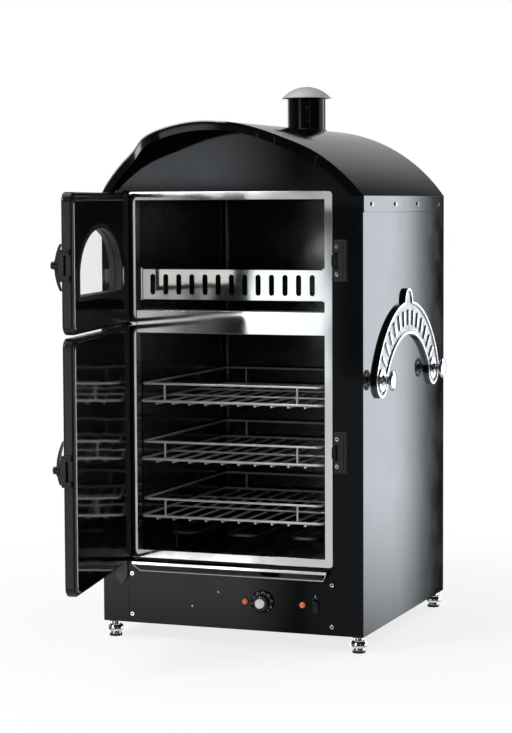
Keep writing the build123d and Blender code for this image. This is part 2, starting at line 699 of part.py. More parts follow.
# Wire racks: a rod frame on ten wires, with a gallery rail on four posts
RACK_FRONT = FRONT + RACK_SETBACK
for level, rise in RACK_RISES.items():
    frame_z = BASE + rise
    rack_back = RACK_FRONT + RACK_DEPTH
    rails = (
        (frame_z, RACK_HALF, RACK_ROD / 2),
        (frame_z + GALLERY_HEIGHT, GALLERY_HALF, GALLERY_ROD / 2),
    )
    with BuildPart() as rack:
        for z, half, radius in rails:
            with BuildLine(Plane.XY.offset(z)) as loop:
                corners = [(half, RACK_FRONT), (half, rack_back)]
                corners += [(-half, rack_back), (-half, RACK_FRONT)]
                FilletPolyline(*corners, radius=RACK_CORNER, close=True)
            with BuildSketch(Plane(origin=loop.line @ 0, z_dir=loop.line % 0)):
                Circle(radius)
            sweep(path=loop.line)
        with BuildSketch(Plane.XY.offset(frame_z)):
            with Locations((0, (RACK_FRONT + rack_back) / 2)):
                with GridLocations(2 * POST_HALF, RACK_DEPTH, 2, 2):
                    Circle(RACK_WIRE / 2)
        extrude(amount=GALLERY_HEIGHT)
        wire_z = frame_z - RACK_ROD / 2 - RACK_WIRE / 2 + WIRE_BITE
        with BuildSketch(upright(RACK_FRONT - RACK_ROD / 2)):
            with Locations((0, wire_z)):
                with GridLocations(WIRE_PITCH, 0, WIRE_COUNT, 1):
                    Circle(RACK_WIRE / 2)
        extrude(amount=-(RACK_DEPTH + RACK_ROD))
        with BuildSketch(sideways(-RACK_HALF)):
            for row in range(CROSS_RODS):
                cross_y = RACK_FRONT + RACK_DEPTH * (row + 1) / (CROSS_RODS + 1)
                with Locations((cross_y, frame_z)):
                    Circle(RACK_WIRE / 2)
        extrude(amount=2 * RACK_HALF)
    rack.part.label = f"rack_{level}"
    export_step(rack.part, f"parts/rack_{level}.step")

# Heating element: one rod bent back and forth over the oven floor
ELEMENT_Z = BASE + ELEMENT_RISE
element_front = LINER_FRONT + ELEMENT_FRONT_GAP
element_back = LINER_BACK - ELEMENT_BACK_GAP
element_inner = LINER_BACK - ELEMENT_INNER_GAP
right_half = [(ELEMENT_PITCH / 2, element_front), (ELEMENT_PITCH / 2, element_inner)]
right_half += [(1.5 * ELEMENT_PITCH, element_inner), (1.5 * ELEMENT_PITCH, element_front)]
right_half += [(2.5 * ELEMENT_PITCH, element_front), (2.5 * ELEMENT_PITCH, element_back)]
right_half += [(ELEMENT_TERMINAL, element_back), (ELEMENT_TERMINAL, LINER_BACK + ELEMENT_TAIL)]
left_half = [(-x, y) for x, y in reversed(right_half)]
with BuildPart() as heating_element:
    with BuildLine(Plane.XY.offset(ELEMENT_Z)) as element_path:
        FilletPolyline(*left_half, *right_half, radius=ELEMENT_BEND)
    with BuildSketch(Plane(origin=element_path.line @ 0, z_dir=element_path.line % 0)):
        Circle(ELEMENT_ROD / 2)
    sweep(path=element_path.line)
heating_element.part.label = "heating_element"
export_step(heating_element.part, "parts/heating_element.step")

# Stools that carry the element clear of the oven floor
stool_span = element_inner - element_front - 2 * STOOL_END
with BuildPart() as element_stools:
    with BuildSketch(Plane.XY.offset(OPENING_BOTTOM)):
        with Locations((0, (element_front + element_inner) / 2)):
            with GridLocations(5 * ELEMENT_PITCH, stool_span, 2, 2):
                Circle(STOOL_RADIUS)
    extrude(amount=ELEMENT_Z - ELEMENT_ROD / 2 - FIT - OPENING_BOTTOM)
element_stools.part.label = "element_stools"
export_step(element_stools.part, "parts/element_stools.step")

# Drip sill: a hollow nose with splayed ends under the trim
with BuildPart() as drip_sill:
    sill_top = BASE + SILL_TOP_RISE
    sill_bottom = BASE + SILL_BOTTOM_RISE
    with BuildSketch(sideways(-SILL_HALF)):
        with BuildLine():
            nose = FRONT - SILL_REACH
            Polyline(
                (FRONT, sill_top),
                (nose, sill_top),
                (nose, sill_top - SILL_NOSE),
                (FRONT, sill_bottom),
                close=True,
            )
        make_face()
    extrude(amount=2 * SILL_HALF)
    with BuildSketch(upright(FRONT)):
        with BuildLine():
            narrow = SILL_HALF - SILL_TAPER
            Polyline(
                (-SILL_HALF, sill_top),
                (-SILL_HALF, sill_top - SILL_NOSE),
                (-narrow, sill_bottom),
                (narrow, sill_bottom),
                (SILL_HALF, sill_top - SILL_NOSE),
                (SILL_HALF, sill_top),
                close=True,
            )
        make_face()
    extrude(amount=SILL_REACH, mode=Mode.INTERSECT)
    offset(amount=-SILL_SHEET, openings=drip_sill.faces().sort_by(Axis.Y)[-1])
drip_sill.part.label = "drip_sill"
export_step(drip_sill.part, "parts/drip_sill.step")

# Control panel, flush with the front frame
fascia_spots = [(s * FASCIA_SCREW_HALF, BASE + z) for s in (-1, 1) for z in FASCIA_SCREW_RISES]
rivet_spots = [(x, BASE + z) for x, z in RIVET_SPOTS]
with BuildPart() as fascia:
    with BuildSketch(upright(FRONT)):
        with Locations((0, BASE + FASCIA_RISE / 2)):
            Rectangle(2 * FASCIA_HALF, FASCIA_RISE)
        with Locations((DIAL_X, CONTROL_Z)):
            Circle(DIAL_SHAFT / 2 + SHAFT_HOLE_GAP, mode=Mode.SUBTRACT)
        for x in LAMP_XS.values():
            with Locations((x, CONTROL_Z)):
                Circle(LAMP_STEM / 2 + FIT, mode=Mode.SUBTRACT)
        with Locations((SWITCH_X, CONTROL_Z)):
            cut = 2 * (SWITCH_RIM - FIT)
            Rectangle(SWITCH_WIDTH - cut, SWITCH_HEIGHT - cut, mode=Mode.SUBTRACT)
        with Locations(*fascia_spots):
            Circle(SCREW_SHANK / 2 + FIT, mode=Mode.SUBTRACT)
        with Locations(*rivet_spots):
            Circle(RIVET_SHANK / 2 + FIT, mode=Mode.SUBTRACT)
    extrude(amount=-SHEET)
fascia.part.label = "fascia"
export_step(fascia.part, "parts/fascia.step")

with BuildPart() as fascia_screws:
    with BuildSketch(upright(FRONT)):
        with Locations(*fascia_spots):
            Circle(SCREW_HEAD / 2)
    extrude(amount=SCREW_HEAD_HEIGHT)
    with BuildSketch(upright(FRONT)):
        with Locations(*fascia_spots):
            Circle(SCREW_SHANK / 2)
        with Locations(*rivet_spots):
            Circle(RIVET_SHANK / 2)
    extrude(amount=-SHEET)
    with BuildSketch(upright(FRONT)):
        with Locations(*rivet_spots):
            Circle(RIVET_HEAD / 2)
    extrude(amount=RIVET_HEIGHT)
fascia_screws.part.label = "fascia_screws"
export_step(fascia_screws.part, "parts/fascia_screws.step")

# Thermostat behind the panel, its shaft and the dial
with BuildPart() as thermostat:
    with BuildSketch(upright(FRONT + SHEET)):
        with Locations((DIAL_X, CONTROL_Z)):
            Rectangle(THERMOSTAT_WIDTH, THERMOSTAT_HEIGHT)
    extrude(amount=-THERMOSTAT_DEPTH)
    with BuildSketch(upright(FRONT + SHEET)):
        with Locations((DIAL_X, CONTROL_Z)):
            Circle(DIAL_SHAFT / 2)
    extrude(amount=SHEET + DIAL_DEPTH - SHAFT_END_GAP)
thermostat.part.label = "thermostat"
export_step(thermostat.part, "parts/thermostat.step")

DIAL_BACK = FRONT - DIAL_GAP
with BuildPart() as dial:
    with BuildSketch(upright(DIAL_BACK)):
        with Locations((DIAL_X, CONTROL_Z)):
            Circle(DIAL_SKIRT / 2)
    extrude(amount=DIAL_SKIRT_HEIGHT)
    with BuildSketch(upright(DIAL_BACK - DIAL_SKIRT_HEIGHT)):
        with Locations((DIAL_X, CONTROL_Z)):
            Circle(DIAL_GRIP / 2)
    extrude(amount=DIAL_DEPTH - DIAL_SKIRT_HEIGHT, taper=DIAL_TAPER)
    fillet(dial.faces().sort_by(Axis.Y)[0].edges(), DIAL_EDGE)
    with BuildSketch(upright(DIAL_BACK)):
        with Locations((DIAL_X, CONTROL_Z)):
            Circle(DIAL_SHAFT / 2 + BORE_FIT)
    extrude(amount=DIAL_DEPTH - DIAL_EDGE, mode=Mode.SUBTRACT)
dial.part.label = "dial"
export_step(dial.part, "parts/dial.step")

with BuildPart() as dial_cap:
    with BuildSketch(upright(DIAL_BACK - DIAL_DEPTH)):
        with Locations((DIAL_X, CONTROL_Z)):
            Circle(DIAL_CAP / 2)
    extrude(amount=DIAL_CAP_HEIGHT)
    fillet(dial_cap.faces().sort_by(Axis.Y)[0].edges(), DIAL_CAP_EDGE)
dial_cap.part.label = "dial_cap"
export_step(dial_cap.part, "parts/dial_cap.step")

# Neon lamps: a domed lens and rim on a stem through the panel
for name, x in LAMP_XS.items():
    with BuildPart() as lamp:
        with BuildSketch(upright(FRONT)):
            with Locations((x, CONTROL_Z)):
                Circle(LAMP_BEZEL / 2)
        extrude(amount=LAMP_BEZEL_HEIGHT)
        with BuildSketch(upright(FRONT - LAMP_BEZEL_HEIGHT)):
            with Locations((x, CONTROL_Z)):
                Circle(LAMP_LENS / 2)
        extrude(amount=LAMP_LENS_HEIGHT - LAMP_BEZEL_HEIGHT)
        fillet(lamp.faces().sort_by(Axis.Y)[0].edges(), LAMP_DOME)
        with BuildSketch(upright(FRONT)):
            with Locations((x, CONTROL_Z)):
                Circle(LAMP_STEM / 2)
        extrude(amount=-LAMP_STEM_LENGTH)
    lamp.part.label = f"{name}_lamp"
    export_step(lamp.part, f"parts/{name}_lamp.step")

# Rocker switch: a rimmed body with a cross pin, and the rocker on it
with BuildPart() as switch_body:
    inner_width = SWITCH_WIDTH - 2 * SWITCH_RIM
    inner_height = SWITCH_HEIGHT - 2 * SWITCH_RIM
    with BuildSketch(upright(FRONT)):
        with Locations((SWITCH_X, CONTROL_Z)):
            Rectangle(SWITCH_WIDTH, SWITCH_HEIGHT)
    extrude(amount=SWITCH_RIM)
    with BuildSketch(upright(FRONT)):
        with Locations((SWITCH_X, CONTROL_Z)):
            Rectangle(inner_width, inner_height)
    extrude(amount=-SWITCH_BODY_DEPTH)
    with BuildSketch(upright(FRONT - SWITCH_RIM)):
        with Locations((SWITCH_X, CONTROL_Z)):
            Rectangle(ROCKER_WIDTH + 2 * FIT, inner_height - 2 * SWITCH_WELL_WALL)
    extrude(amount=-(SWITCH_RIM + SWITCH_WELL_DEPTH), mode=Mode.SUBTRACT)
    with BuildSketch(sideways(SWITCH_X - inner_width / 2)):
        with Locations((FRONT + ROCKER_PIN_DEPTH, CONTROL_Z)):
            Circle(ROCKER_PIN / 2)
    extrude(amount=inner_width)
switch_body.part.label = "switch_body"
export_step(switch_body.part, "parts/switch_body.step")

with BuildPart() as switch_rocker:
    tilt = radians(ROCKER_TILT)
    pivot = (SWITCH_X - ROCKER_WIDTH / 2, FRONT + ROCKER_PIN_DEPTH, CONTROL_Z)
    rocker_plane = Plane(origin=pivot, x_dir=(0, cos(tilt), sin(tilt)), z_dir=(1, 0, 0))
    with BuildSketch(rocker_plane):
        with BuildLine():
            half = ROCKER_HEIGHT / 2
            Polyline(
                (ROCKER_HEEL, 0),
                (0, half),
                (-ROCKER_TIP, half),
                (ROCKER_DISH - ROCKER_TIP, 0),
                (-ROCKER_TIP, -half),
                (0, -half),
                close=True,
            )
        make_face()
        Circle(ROCKER_PIN / 2 + BORE_FIT, mode=Mode.SUBTRACT)
    extrude(amount=ROCKER_WIDTH)
switch_rocker.part.label = "switch_rocker"
export_step(switch_rocker.part, "parts/switch_rocker.step")

# Flue: a collecting box over the display, the pipe and its domed cap
with BuildPart() as flue_box:
    with BuildSketch(Plane.XY.offset(FLUE_BOX_BOTTOM)):
        with Locations((0, FLUE_Y)):
            Rectangle(FLUE_BOX_WIDTH, FLUE_BOX_LENGTH)
    extrude(amount=FLUE_BOX_HEIGHT)
    with BuildSketch(Plane.XY.offset(FLUE_BOX_BOTTOM)):
        vent_y = LINER_BACK - LINER_CORNER - FLUE_VENT_LENGTH / 2
        with Locations((0, vent_y)):
            Rectangle(FLUE_DIAMETER, FLUE_VENT_LENGTH)
    extrude(amount=LINER_SHEET, mode=Mode.SUBTRACT)
    with BuildSketch(Plane.XY.offset(FLUE_BOX_BOTTOM + LINER_SHEET)):
        with Locations((0, FLUE_Y)):
            hollow = 2 * LINER_SHEET
            Rectangle(FLUE_BOX_WIDTH - hollow, FLUE_BOX_LENGTH - hollow)
    extrude(amount=FLUE_BOX_HEIGHT - 2 * LINER_SHEET, mode=Mode.SUBTRACT)
    with BuildSketch(Plane.XY.offset(FLUE_BOX_TOP - LINER_SHEET)):
        with Locations((0, FLUE_Y)):
            Circle(FLUE_DIAMETER / 2 - FLUE_WALL)
    extrude(amount=LINER_SHEET, mode=Mode.SUBTRACT)
flue_box.part.label = "flue_box"
export_step(flue_box.part, "parts/flue_box.step")

with BuildPart() as flue_tube:
    with BuildSketch(Plane.XY.offset(FLUE_BOX_TOP)):
        with Locations((0, FLUE_Y)):
            Circle(FLUE_DIAMETER / 2)
            Circle(FLUE_DIAMETER / 2 - FLUE_WALL, mode=Mode.SUBTRACT)
    extrude(amount=BASE + FLUE_TOP_RISE - FLUE_BOX_TOP)
flue_tube.part.label = "flue_tube"
export_step(flue_tube.part, "parts/flue_tube.step")

cap_half = CAP_DIAMETER / 2
cap_rim = BASE + FLUE_TOP_RISE - CAP_LAP
dome_radius = (cap_half**2 + CAP_DOME**2) / (2 * CAP_DOME)
dome_centre = cap_rim + CAP_DOME - dome_radius
leg_radius = FLUE_DIAMETER / 2 - FLUE_WALL - FIT
leg_top = dome_centre + sqrt((dome_radius - CAP_SHEET / 2) ** 2 - leg_radius**2)
leg_bottom = BASE + FLUE_TOP_RISE - CAP_LEG_DROP
with BuildPart() as flue_cap:
    with Locations((0, FLUE_Y, dome_centre)):
        Sphere(dome_radius)
        Sphere(dome_radius - CAP_SHEET, mode=Mode.SUBTRACT)
    with BuildSketch(Plane.XY.offset(cap_rim)):
        with Locations((0, FLUE_Y)):
            Circle(CAP_DIAMETER)
    extrude(amount=CAP_DIAMETER, mode=Mode.INTERSECT)
    with BuildSketch(Plane.XY.offset(leg_bottom)):
        with Locations((0, FLUE_Y)):
            with PolarLocations(leg_radius - CAP_SHEET / 2 - CAP_LEG_SINK, CAP_LEGS):
                Rectangle(CAP_SHEET, CAP_LEG_WIDTH)
    extrude(amount=leg_top - leg_bottom)
flue_cap.part.label = "flue_cap"
export_step(flue_cap.part, "parts/flue_cap.step")

# Doors: hollow pans with a solid pivot stile, each closed by a bright inner panel
DOOR_WIDTH = DOOR_REACH - DOOR_START
DOOR_MIDDLE = (DOOR_REACH + DOOR_START) / 2
doors = {"upper": UPPER_DOOR_RISES, "lower": LOWER_DOOR_RISES}
for name, rises in doors.items():
    bottom = BASE + rises[0]
    top = BASE + rises[1]
    height = top - bottom
    middle = (bottom + top) / 2
    with BuildPart() as door_shell:
        with BuildSketch(DOOR_PLANE.offset(-DOOR_FACE)):
            with Locations((DOOR_MIDDLE, middle)):
                RectangleRounded(DOOR_WIDTH, height, DOOR_CORNER)
        extrude(amount=DOOR_THICKNESS)
        fillet(door_shell.faces().filter_by(DOOR_PLANE).edges(), DOOR_EDGE)
        hollow_start = DOOR_START + DOOR_STILE
        hollow_end = DOOR_REACH - DOOR_SHEET
        with BuildSketch(DOOR_PLANE.offset(DOOR_SHEET - DOOR_FACE)):
            with Locations(((hollow_start + hollow_end) / 2, middle)):
                hollow_size = (hollow_end - hollow_start, height - 2 * DOOR_SHEET)
                RectangleRounded(*hollow_size, DOOR_CORNER - DOOR_SHEET)
        extrude(amount=DOOR_THICKNESS - 2 * DOOR_SHEET, mode=Mode.SUBTRACT)
        with BuildSketch(DOOR_PLANE.offset(-DOOR_FACE)):
            with Locations((DOOR_MIDDLE, middle)):
                Rectangle(DOOR_WIDTH - 2 * DOOR_RETURN, height - 2 * DOOR_RETURN)
        extrude(amount=DOOR_SHEET, mode=Mode.SUBTRACT)
        bore_depth = HINGE_PIN_LENGTH + HINGE_EAR_GAP
        for z in (bottom, top - bore_depth):
            with BuildSketch(Plane.XY.offset(z)):
                with Locations((PIVOT_X, PIVOT_Y)):
                    Circle(HINGE_PIN / 2 + BORE_FIT)
            extrude(amount=bore_depth, mode=Mode.SUBTRACT)
        if name == "upper":
            with BuildSketch(DOOR_PLANE.offset(-DOOR_FACE)):
                window_outline(GASKET_WEB + FIT)
            extrude(amount=DOOR_THICKNESS, mode=Mode.SUBTRACT)
    door_shell.part.label = f"{name}_door_shell"
    export_step(door_shell.part, f"parts/{name}_door_shell.step")

    with BuildPart() as door_panel:
        with BuildSketch(DOOR_PLANE.offset(-DOOR_FACE - PANEL_SHEET)):
            with Locations((DOOR_MIDDLE, middle)):
                panel_size = (DOOR_WIDTH - 2 * PANEL_INSET, height - 2 * PANEL_INSET)
                RectangleRounded(*panel_size, PANEL_CORNER)
        extrude(amount=PANEL_SHEET)
        if name == "upper":
            with BuildSketch(DOOR_PLANE.offset(-DOOR_FACE - PANEL_SHEET)):
                window_outline(GASKET_WEB + FIT)
            extrude(amount=PANEL_SHEET, mode=Mode.SUBTRACT)
    door_panel.part.label = f"{name}_door_panel"
    export_step(door_panel.part, f"parts/{name}_door_panel.step")

# Window: the glass and the rubber section that holds it
with BuildPart() as door_glass:
    with BuildSketch(DOOR_PLANE.offset(-GLASS_SHEET / 2)):
        window_outline(GLASS_BITE)
    extrude(amount=GLASS_SHEET)
door_glass.part.label = "door_glass"
export_step(door_glass.part, "parts/door_glass.step")

with BuildPart() as window_gasket:
    inner_face = -DOOR_FACE - PANEL_SHEET
    for start in (inner_face - GASKET_LIP_HEIGHT, DOOR_FACE):
        with BuildSketch(DOOR_PLANE.offset(start)):
            window_outline(GASKET_LIP)
        extrude(amount=GASKET_LIP_HEIGHT)
    with BuildSketch(DOOR_PLANE.offset(inner_face)):
        window_outline(GASKET_WEB)
    extrude(amount=DOOR_FACE - inner_face)
    with BuildSketch(DOOR_PLANE.offset(inner_face - GASKET_LIP_HEIGHT)):
        window_outline(0)
    extrude(amount=DOOR_FACE - inner_face + 2 * GASKET_LIP_HEIGHT, mode=Mode.SUBTRACT)
    with BuildSketch(DOOR_PLANE.offset(-GLASS_SHEET / 2)):
        window_outline(GLASS_BITE)
    extrude(amount=GLASS_SHEET, mode=Mode.SUBTRACT)
window_gasket.part.label = "window_gasket"
export_step(window_gasket.part, "parts/window_gasket.step")

# Hinge brackets: a pointed plate on the left post, an ear and a pivot pin
PLATE_RIGHT = PIVOT_X - HINGE_PLATE_GAP
PLATE_LEFT = PLATE_RIGHT - HINGE_PLATE_WIDTH
PLATE_MIDDLE = (PLATE_LEFT + PLATE_RIGHT) / 2
lower_bottom, lower_top = (BASE + rise for rise in LOWER_DOOR_RISES)
upper_bottom, upper_top = (BASE + rise for rise in UPPER_DOOR_RISES)
pin_reach = HINGE_EAR_GAP + HINGE_PIN_LENGTH - HINGE_PIN_GAP
ear_bottom = lower_bottom - HINGE_EAR_GAP - HINGE_EAR_SHEET
ear_top = upper_top + HINGE_EAR_GAP
ear_middle = (lower_top + upper_bottom) / 2 - HINGE_EAR_SHEET / 2
hinges = {
    "bottom": (ear_bottom, 0, pin_reach, lower_bottom - HINGE_TAIL, lower_bottom),
    "middle": (
        ear_middle, pin_reach, pin_reach, lower_top - MIDDLE_PLATE_LAP, upper_bottom + MIDDLE_PLATE_LAP
    ),
    "top": (
        ear_top, pin_reach, 0, upper_top - TOP_PLATE_LAP, ear_top + HINGE_EAR_SHEET + TOP_PLATE_EDGE
    ),
}
for name, (ear_z, pin_down, pin_up, plate_bottom, plate_top) in hinges.items():
    with BuildPart() as hinge:
        with BuildSketch(upright(FRONT)):
            with BuildLine():
                point = HINGE_POINT if name != "top" else 0
                crown = HINGE_POINT if name == "middle" else 0
                outline = [(PLATE_LEFT, plate_bottom + point), (PLATE_LEFT, plate_top - crown)]
                outline += [(PLATE_MIDDLE, plate_top)] if crown else []
                outline += [(PLATE_RIGHT, plate_top - crown), (PLATE_RIGHT, plate_bottom + point)]
                outline += [(PLATE_MIDDLE, plate_bottom)] if point else []
                Polyline(*outline, close=True)
            make_face()
        extrude(amount=HINGE_PLATE_SHEET)
        with BuildSketch(Plane.XY.offset(ear_z)):
            with Locations((PIVOT_X, PIVOT_Y)):
                Circle(HINGE_EAR_RADIUS)
            with BuildLine():
                Polyline(
                    (PLATE_RIGHT - HINGE_EAR_ROOT, FRONT - HINGE_PLATE_SHEET / 2),
                    (PLATE_RIGHT, FRONT - HINGE_PLATE_SHEET / 2),
                    (PIVOT_X + HINGE_EAR_RADIUS, PIVOT_Y),
                    (PIVOT_X - HINGE_EAR_RADIUS, PIVOT_Y),
                    close=True,
                )
            make_face()
        extrude(amount=HINGE_EAR_SHEET)
        with BuildSketch(Plane.XY.offset(ear_z - pin_down)):
            with Locations((PIVOT_X, PIVOT_Y)):
                Circle(HINGE_PIN / 2)
        extrude(amount=pin_down + HINGE_EAR_SHEET + pin_up)
    hinge.part.label = f"hinge_{name}"
    export_step(hinge.part, f"parts/hinge_{name}.step")

# Latches: a body over the free edge of each door and a bowed lever on its spindle
LATCH_S = DOOR_REACH - LATCH_PIVOT_INSET
FACE_TOP = DOOR_FACE + LATCH_FACE
for name, rise in LATCH_RISES.items():
    z = BASE + rise
    with BuildPart() as latch_body:
        with BuildSketch(DOOR_PLANE.offset(-LATCH_BACK)):
            with Locations((DOOR_REACH + LATCH_EDGE_DEPTH / 2, z)):
                Rectangle(LATCH_EDGE_DEPTH, LATCH_HEIGHT)
        extrude(amount=LATCH_BACK + DOOR_FACE + LATCH_EDGE_PROUD)
        corner_edges = latch_body.edges().filter_by(Axis(origin=(0, 0, 0), direction=out_of_door))
        fillet(corner_edges.group_by(Axis.Z)[0] + corner_edges.group_by(Axis.Z)[-1], LATCH_CORNER)
        with BuildSketch(DOOR_PLANE.offset(-LATCH_BACK)):
            with Locations((DOOR_REACH + LATCH_EDGE_DEPTH / 2, z)):
                Rectangle(LATCH_EDGE_DEPTH, 2 * LATCH_SLOT_HALF)
        extrude(amount=LATCH_SLOT_DEPTH, mode=Mode.SUBTRACT)
        with BuildSketch(DOOR_PLANE.offset(DOOR_FACE)):
            with Locations((DOOR_REACH + LATCH_EDGE_DEPTH - LATCH_PLATE / 2, z)):
                RectangleRounded(LATCH_PLATE, LATCH_PLATE_HEIGHT, LATCH_CORNER)
        extrude(amount=LATCH_FACE)
        with BuildSketch(DOOR_PLANE.offset(FACE_TOP)):
            with Locations((LATCH_S, z)):
                Circle(HUB_DIAMETER / 2)
        extrude(amount=HUB_HEIGHT)
        with BuildSketch(DOOR_PLANE.offset(FACE_TOP)):
            with Locations((LATCH_S, z)):
                Circle(SPINDLE / 2)
        extrude(amount=LEVER_CROWN - LATCH_FACE)
    latch_body.part.label = f"{name}_latch_body"
    export_step(latch_body.part, f"parts/{name}_latch_body.step")

    above, below = LEVER_ARMS[name]
    tip_above, tip_below = LEVER_TIPS[name]
    start = DOOR_PLANE.from_local_coords((LATCH_S - LEVER_WIDTH, z, DOOR_FACE))
    side_plane = Plane(origin=start, x_dir=(0, 0, 1), z_dir=along_door)
    with BuildPart() as latch_lever:
        with BuildSketch(side_plane):
            with BuildLine():
                outer = ThreePointArc(
                    (above, tip_above + LEVER_TIP_THICKNESS),
                    (0, LEVER_CROWN),
                    (-below, tip_below + LEVER_TIP_THICKNESS),
                )
                inner = ThreePointArc(
                    (above, tip_above),
                    (0, LEVER_CROWN - LEVER_THICKNESS),
                    (-below, tip_below),
                )
                Line(outer @ 0, inner @ 0)
                Line(outer @ 1, inner @ 1)
            make_face()
        extrude(amount=2 * LEVER_WIDTH)
        with BuildSketch(DOOR_PLANE.offset(DOOR_FACE)) as lever_plan:
            with BuildLine():
                Polyline(
                    (LATCH_S - LEVER_WIDTH / 2, z),
                    (LATCH_S - LEVER_TIP_WIDTH / 2, z + above),
                    (LATCH_S + LEVER_TIP_WIDTH / 2, z + above),
                    (LATCH_S + LEVER_WIDTH / 2, z),
                    (LATCH_S + LEVER_TIP_WIDTH / 2, z - below),
                    (LATCH_S - LEVER_TIP_WIDTH / 2, z - below),
                    close=True,
                )
            make_face()
            ends = lever_plan.vertices().group_by(Axis.Z)
            fillet(ends[0] + ends[-1], LEVER_TIP_CORNER)
        extrude(amount=2 * LEVER_CROWN, mode=Mode.INTERSECT)
        eye_bottom = FACE_TOP + HUB_HEIGHT + FIT
        with BuildSketch(DOOR_PLANE.offset(eye_bottom)):
            with Locations((LATCH_S, z)):
                Circle(LEVER_EYE / 2)
        extrude(amount=DOOR_FACE + LEVER_CROWN + LEVER_EYE_PROUD - eye_bottom)
        with BuildSketch(DOOR_PLANE.offset(DOOR_FACE + LEVER_CROWN)):
            with Locations((LATCH_S, z)):
                Circle(LEVER_KNOB / 2)
        extrude(amount=LEVER_KNOB_HEIGHT)
        knob_rim = latch_lever.edges().sort_by(Axis(origin=start, direction=out_of_door))[-1]
        fillet(knob_rim, LEVER_KNOB_EDGE)
        with BuildSketch(DOOR_PLANE.offset(DOOR_FACE)):
            with Locations((LATCH_S, z)):
                Circle(HUB_DIAMETER / 2 + FIT)
        extrude(amount=eye_bottom - DOOR_FACE, mode=Mode.SUBTRACT)
        with BuildSketch(DOOR_PLANE.offset(DOOR_FACE)):
            with Locations((LATCH_S, z)):
                Circle(SPINDLE / 2 + BORE_FIT)
        extrude(amount=LEVER_CROWN + FIT, mode=Mode.SUBTRACT)
    latch_lever.part.label = f"{name}_latch_lever"
    export_step(latch_lever.part, f"parts/{name}_latch_lever.step")

    with BuildPart() as keeper:
        with BuildSketch(upright(FRONT)):
            with Locations((KEEPER_X, z)):
                RectangleRounded(KEEPER_WIDTH, KEEPER_HEIGHT, KEEPER_CORNER)
        extrude(amount=KEEPER_SHEET)
        plate_left = KEEPER_X - KEEPER_WIDTH / 2
        for end in (-1, 1):
            lug_z = z + end * (STAPLE_HALF - STAPLE_LUG / 2)
            with BuildSketch(Plane.XY.offset(lug_z - STAPLE_LUG / 2)):
                with BuildLine():
                    staple_y = FRONT - STAPLE_REACH
                    Polyline(
                        (plate_left, FRONT - KEEPER_SHEET / 2),
                        (plate_left + STAPLE_ROOT, FRONT - KEEPER_SHEET / 2),
                        (STAPLE_X + STAPLE_BAR / 2, staple_y),
                        (STAPLE_X - STAPLE_BAR / 2, staple_y),
                        close=True,
                    )
                make_face()
            extrude(amount=STAPLE_LUG)
        with BuildSketch(Plane.XY.offset(z - STAPLE_HALF)):
            with Locations((STAPLE_X, FRONT - STAPLE_REACH + STAPLE_BAR_SINK)):
                Circle(STAPLE_BAR / 2)
        extrude(amount=2 * STAPLE_HALF)
    keeper.part.label = f"{name}_keeper"
    export_step(keeper.part, f"parts/{name}_keeper.step")

with BuildPart() as keeper_screws:
    spots = []
    for rise in LATCH_RISES.values():
        spots.append((KEEPER_SCREW_X, BASE + rise - KEEPER_SCREW_HALF))
        spots.append((KEEPER_SCREW_X, BASE + rise + KEEPER_SCREW_HALF))
    with BuildSketch(upright(FRONT - KEEPER_SHEET)):
        with Locations(*spots):
            Circle(SCREW_HEAD / 2)
    extrude(amount=SCREW_HEAD_HEIGHT)
keeper_screws.part.label = "keeper_screws"
export_step(keeper_screws.part, "parts/keeper_screws.step")


def arch_outline():
    """Outline of the cast arch on a sideways sketch."""
    hub_z = BASE + ARCH_OUTER_RISE
    slope = atan2(ARCH_FOOT_RISE - ARCH_OUTER_RISE, ARCH_FOOT_HALF)
    end_x = cos(slope) * (ARCH_OUTER_RADIUS - ARCH_FOOT_RADIUS)
    end_z = hub_z + sin(slope) * (ARCH_OUTER_RADIUS - ARCH_FOOT_RADIUS)
    far_x = cos(slope) * 2 * ARCH_OUTER_RADIUS
    far_z = hub_z + sin(slope) * 2 * ARCH_OUTER_RADIUS
    low_z = hub_z - 2 * ARCH_OUTER_RADIUS
    with Locations((0, hub_z)):
        Circle(ARCH_OUTER_RADIUS)
    with Locations((0, BASE + ARCH_INNER_RISE)):
        Circle(ARCH_INNER_RADIUS, mode=Mode.SUBTRACT)
    with BuildLine() as below:
        Polyline(
            (0, hub_z), (far_x, far_z), (far_x, low_z), (-far_x, low_z), (-far_x, far_z), close=True
        )
    make_face(below.edges(), mode=Mode.SUBTRACT)
    with Locations((-end_x, end_z), (end_x, end_z)):
        Circle(ARCH_FOOT_RADIUS)
    with Locations((0, BASE + ARCH_LUG_RISE)):
        Circle(ARCH_LUG_RADIUS)


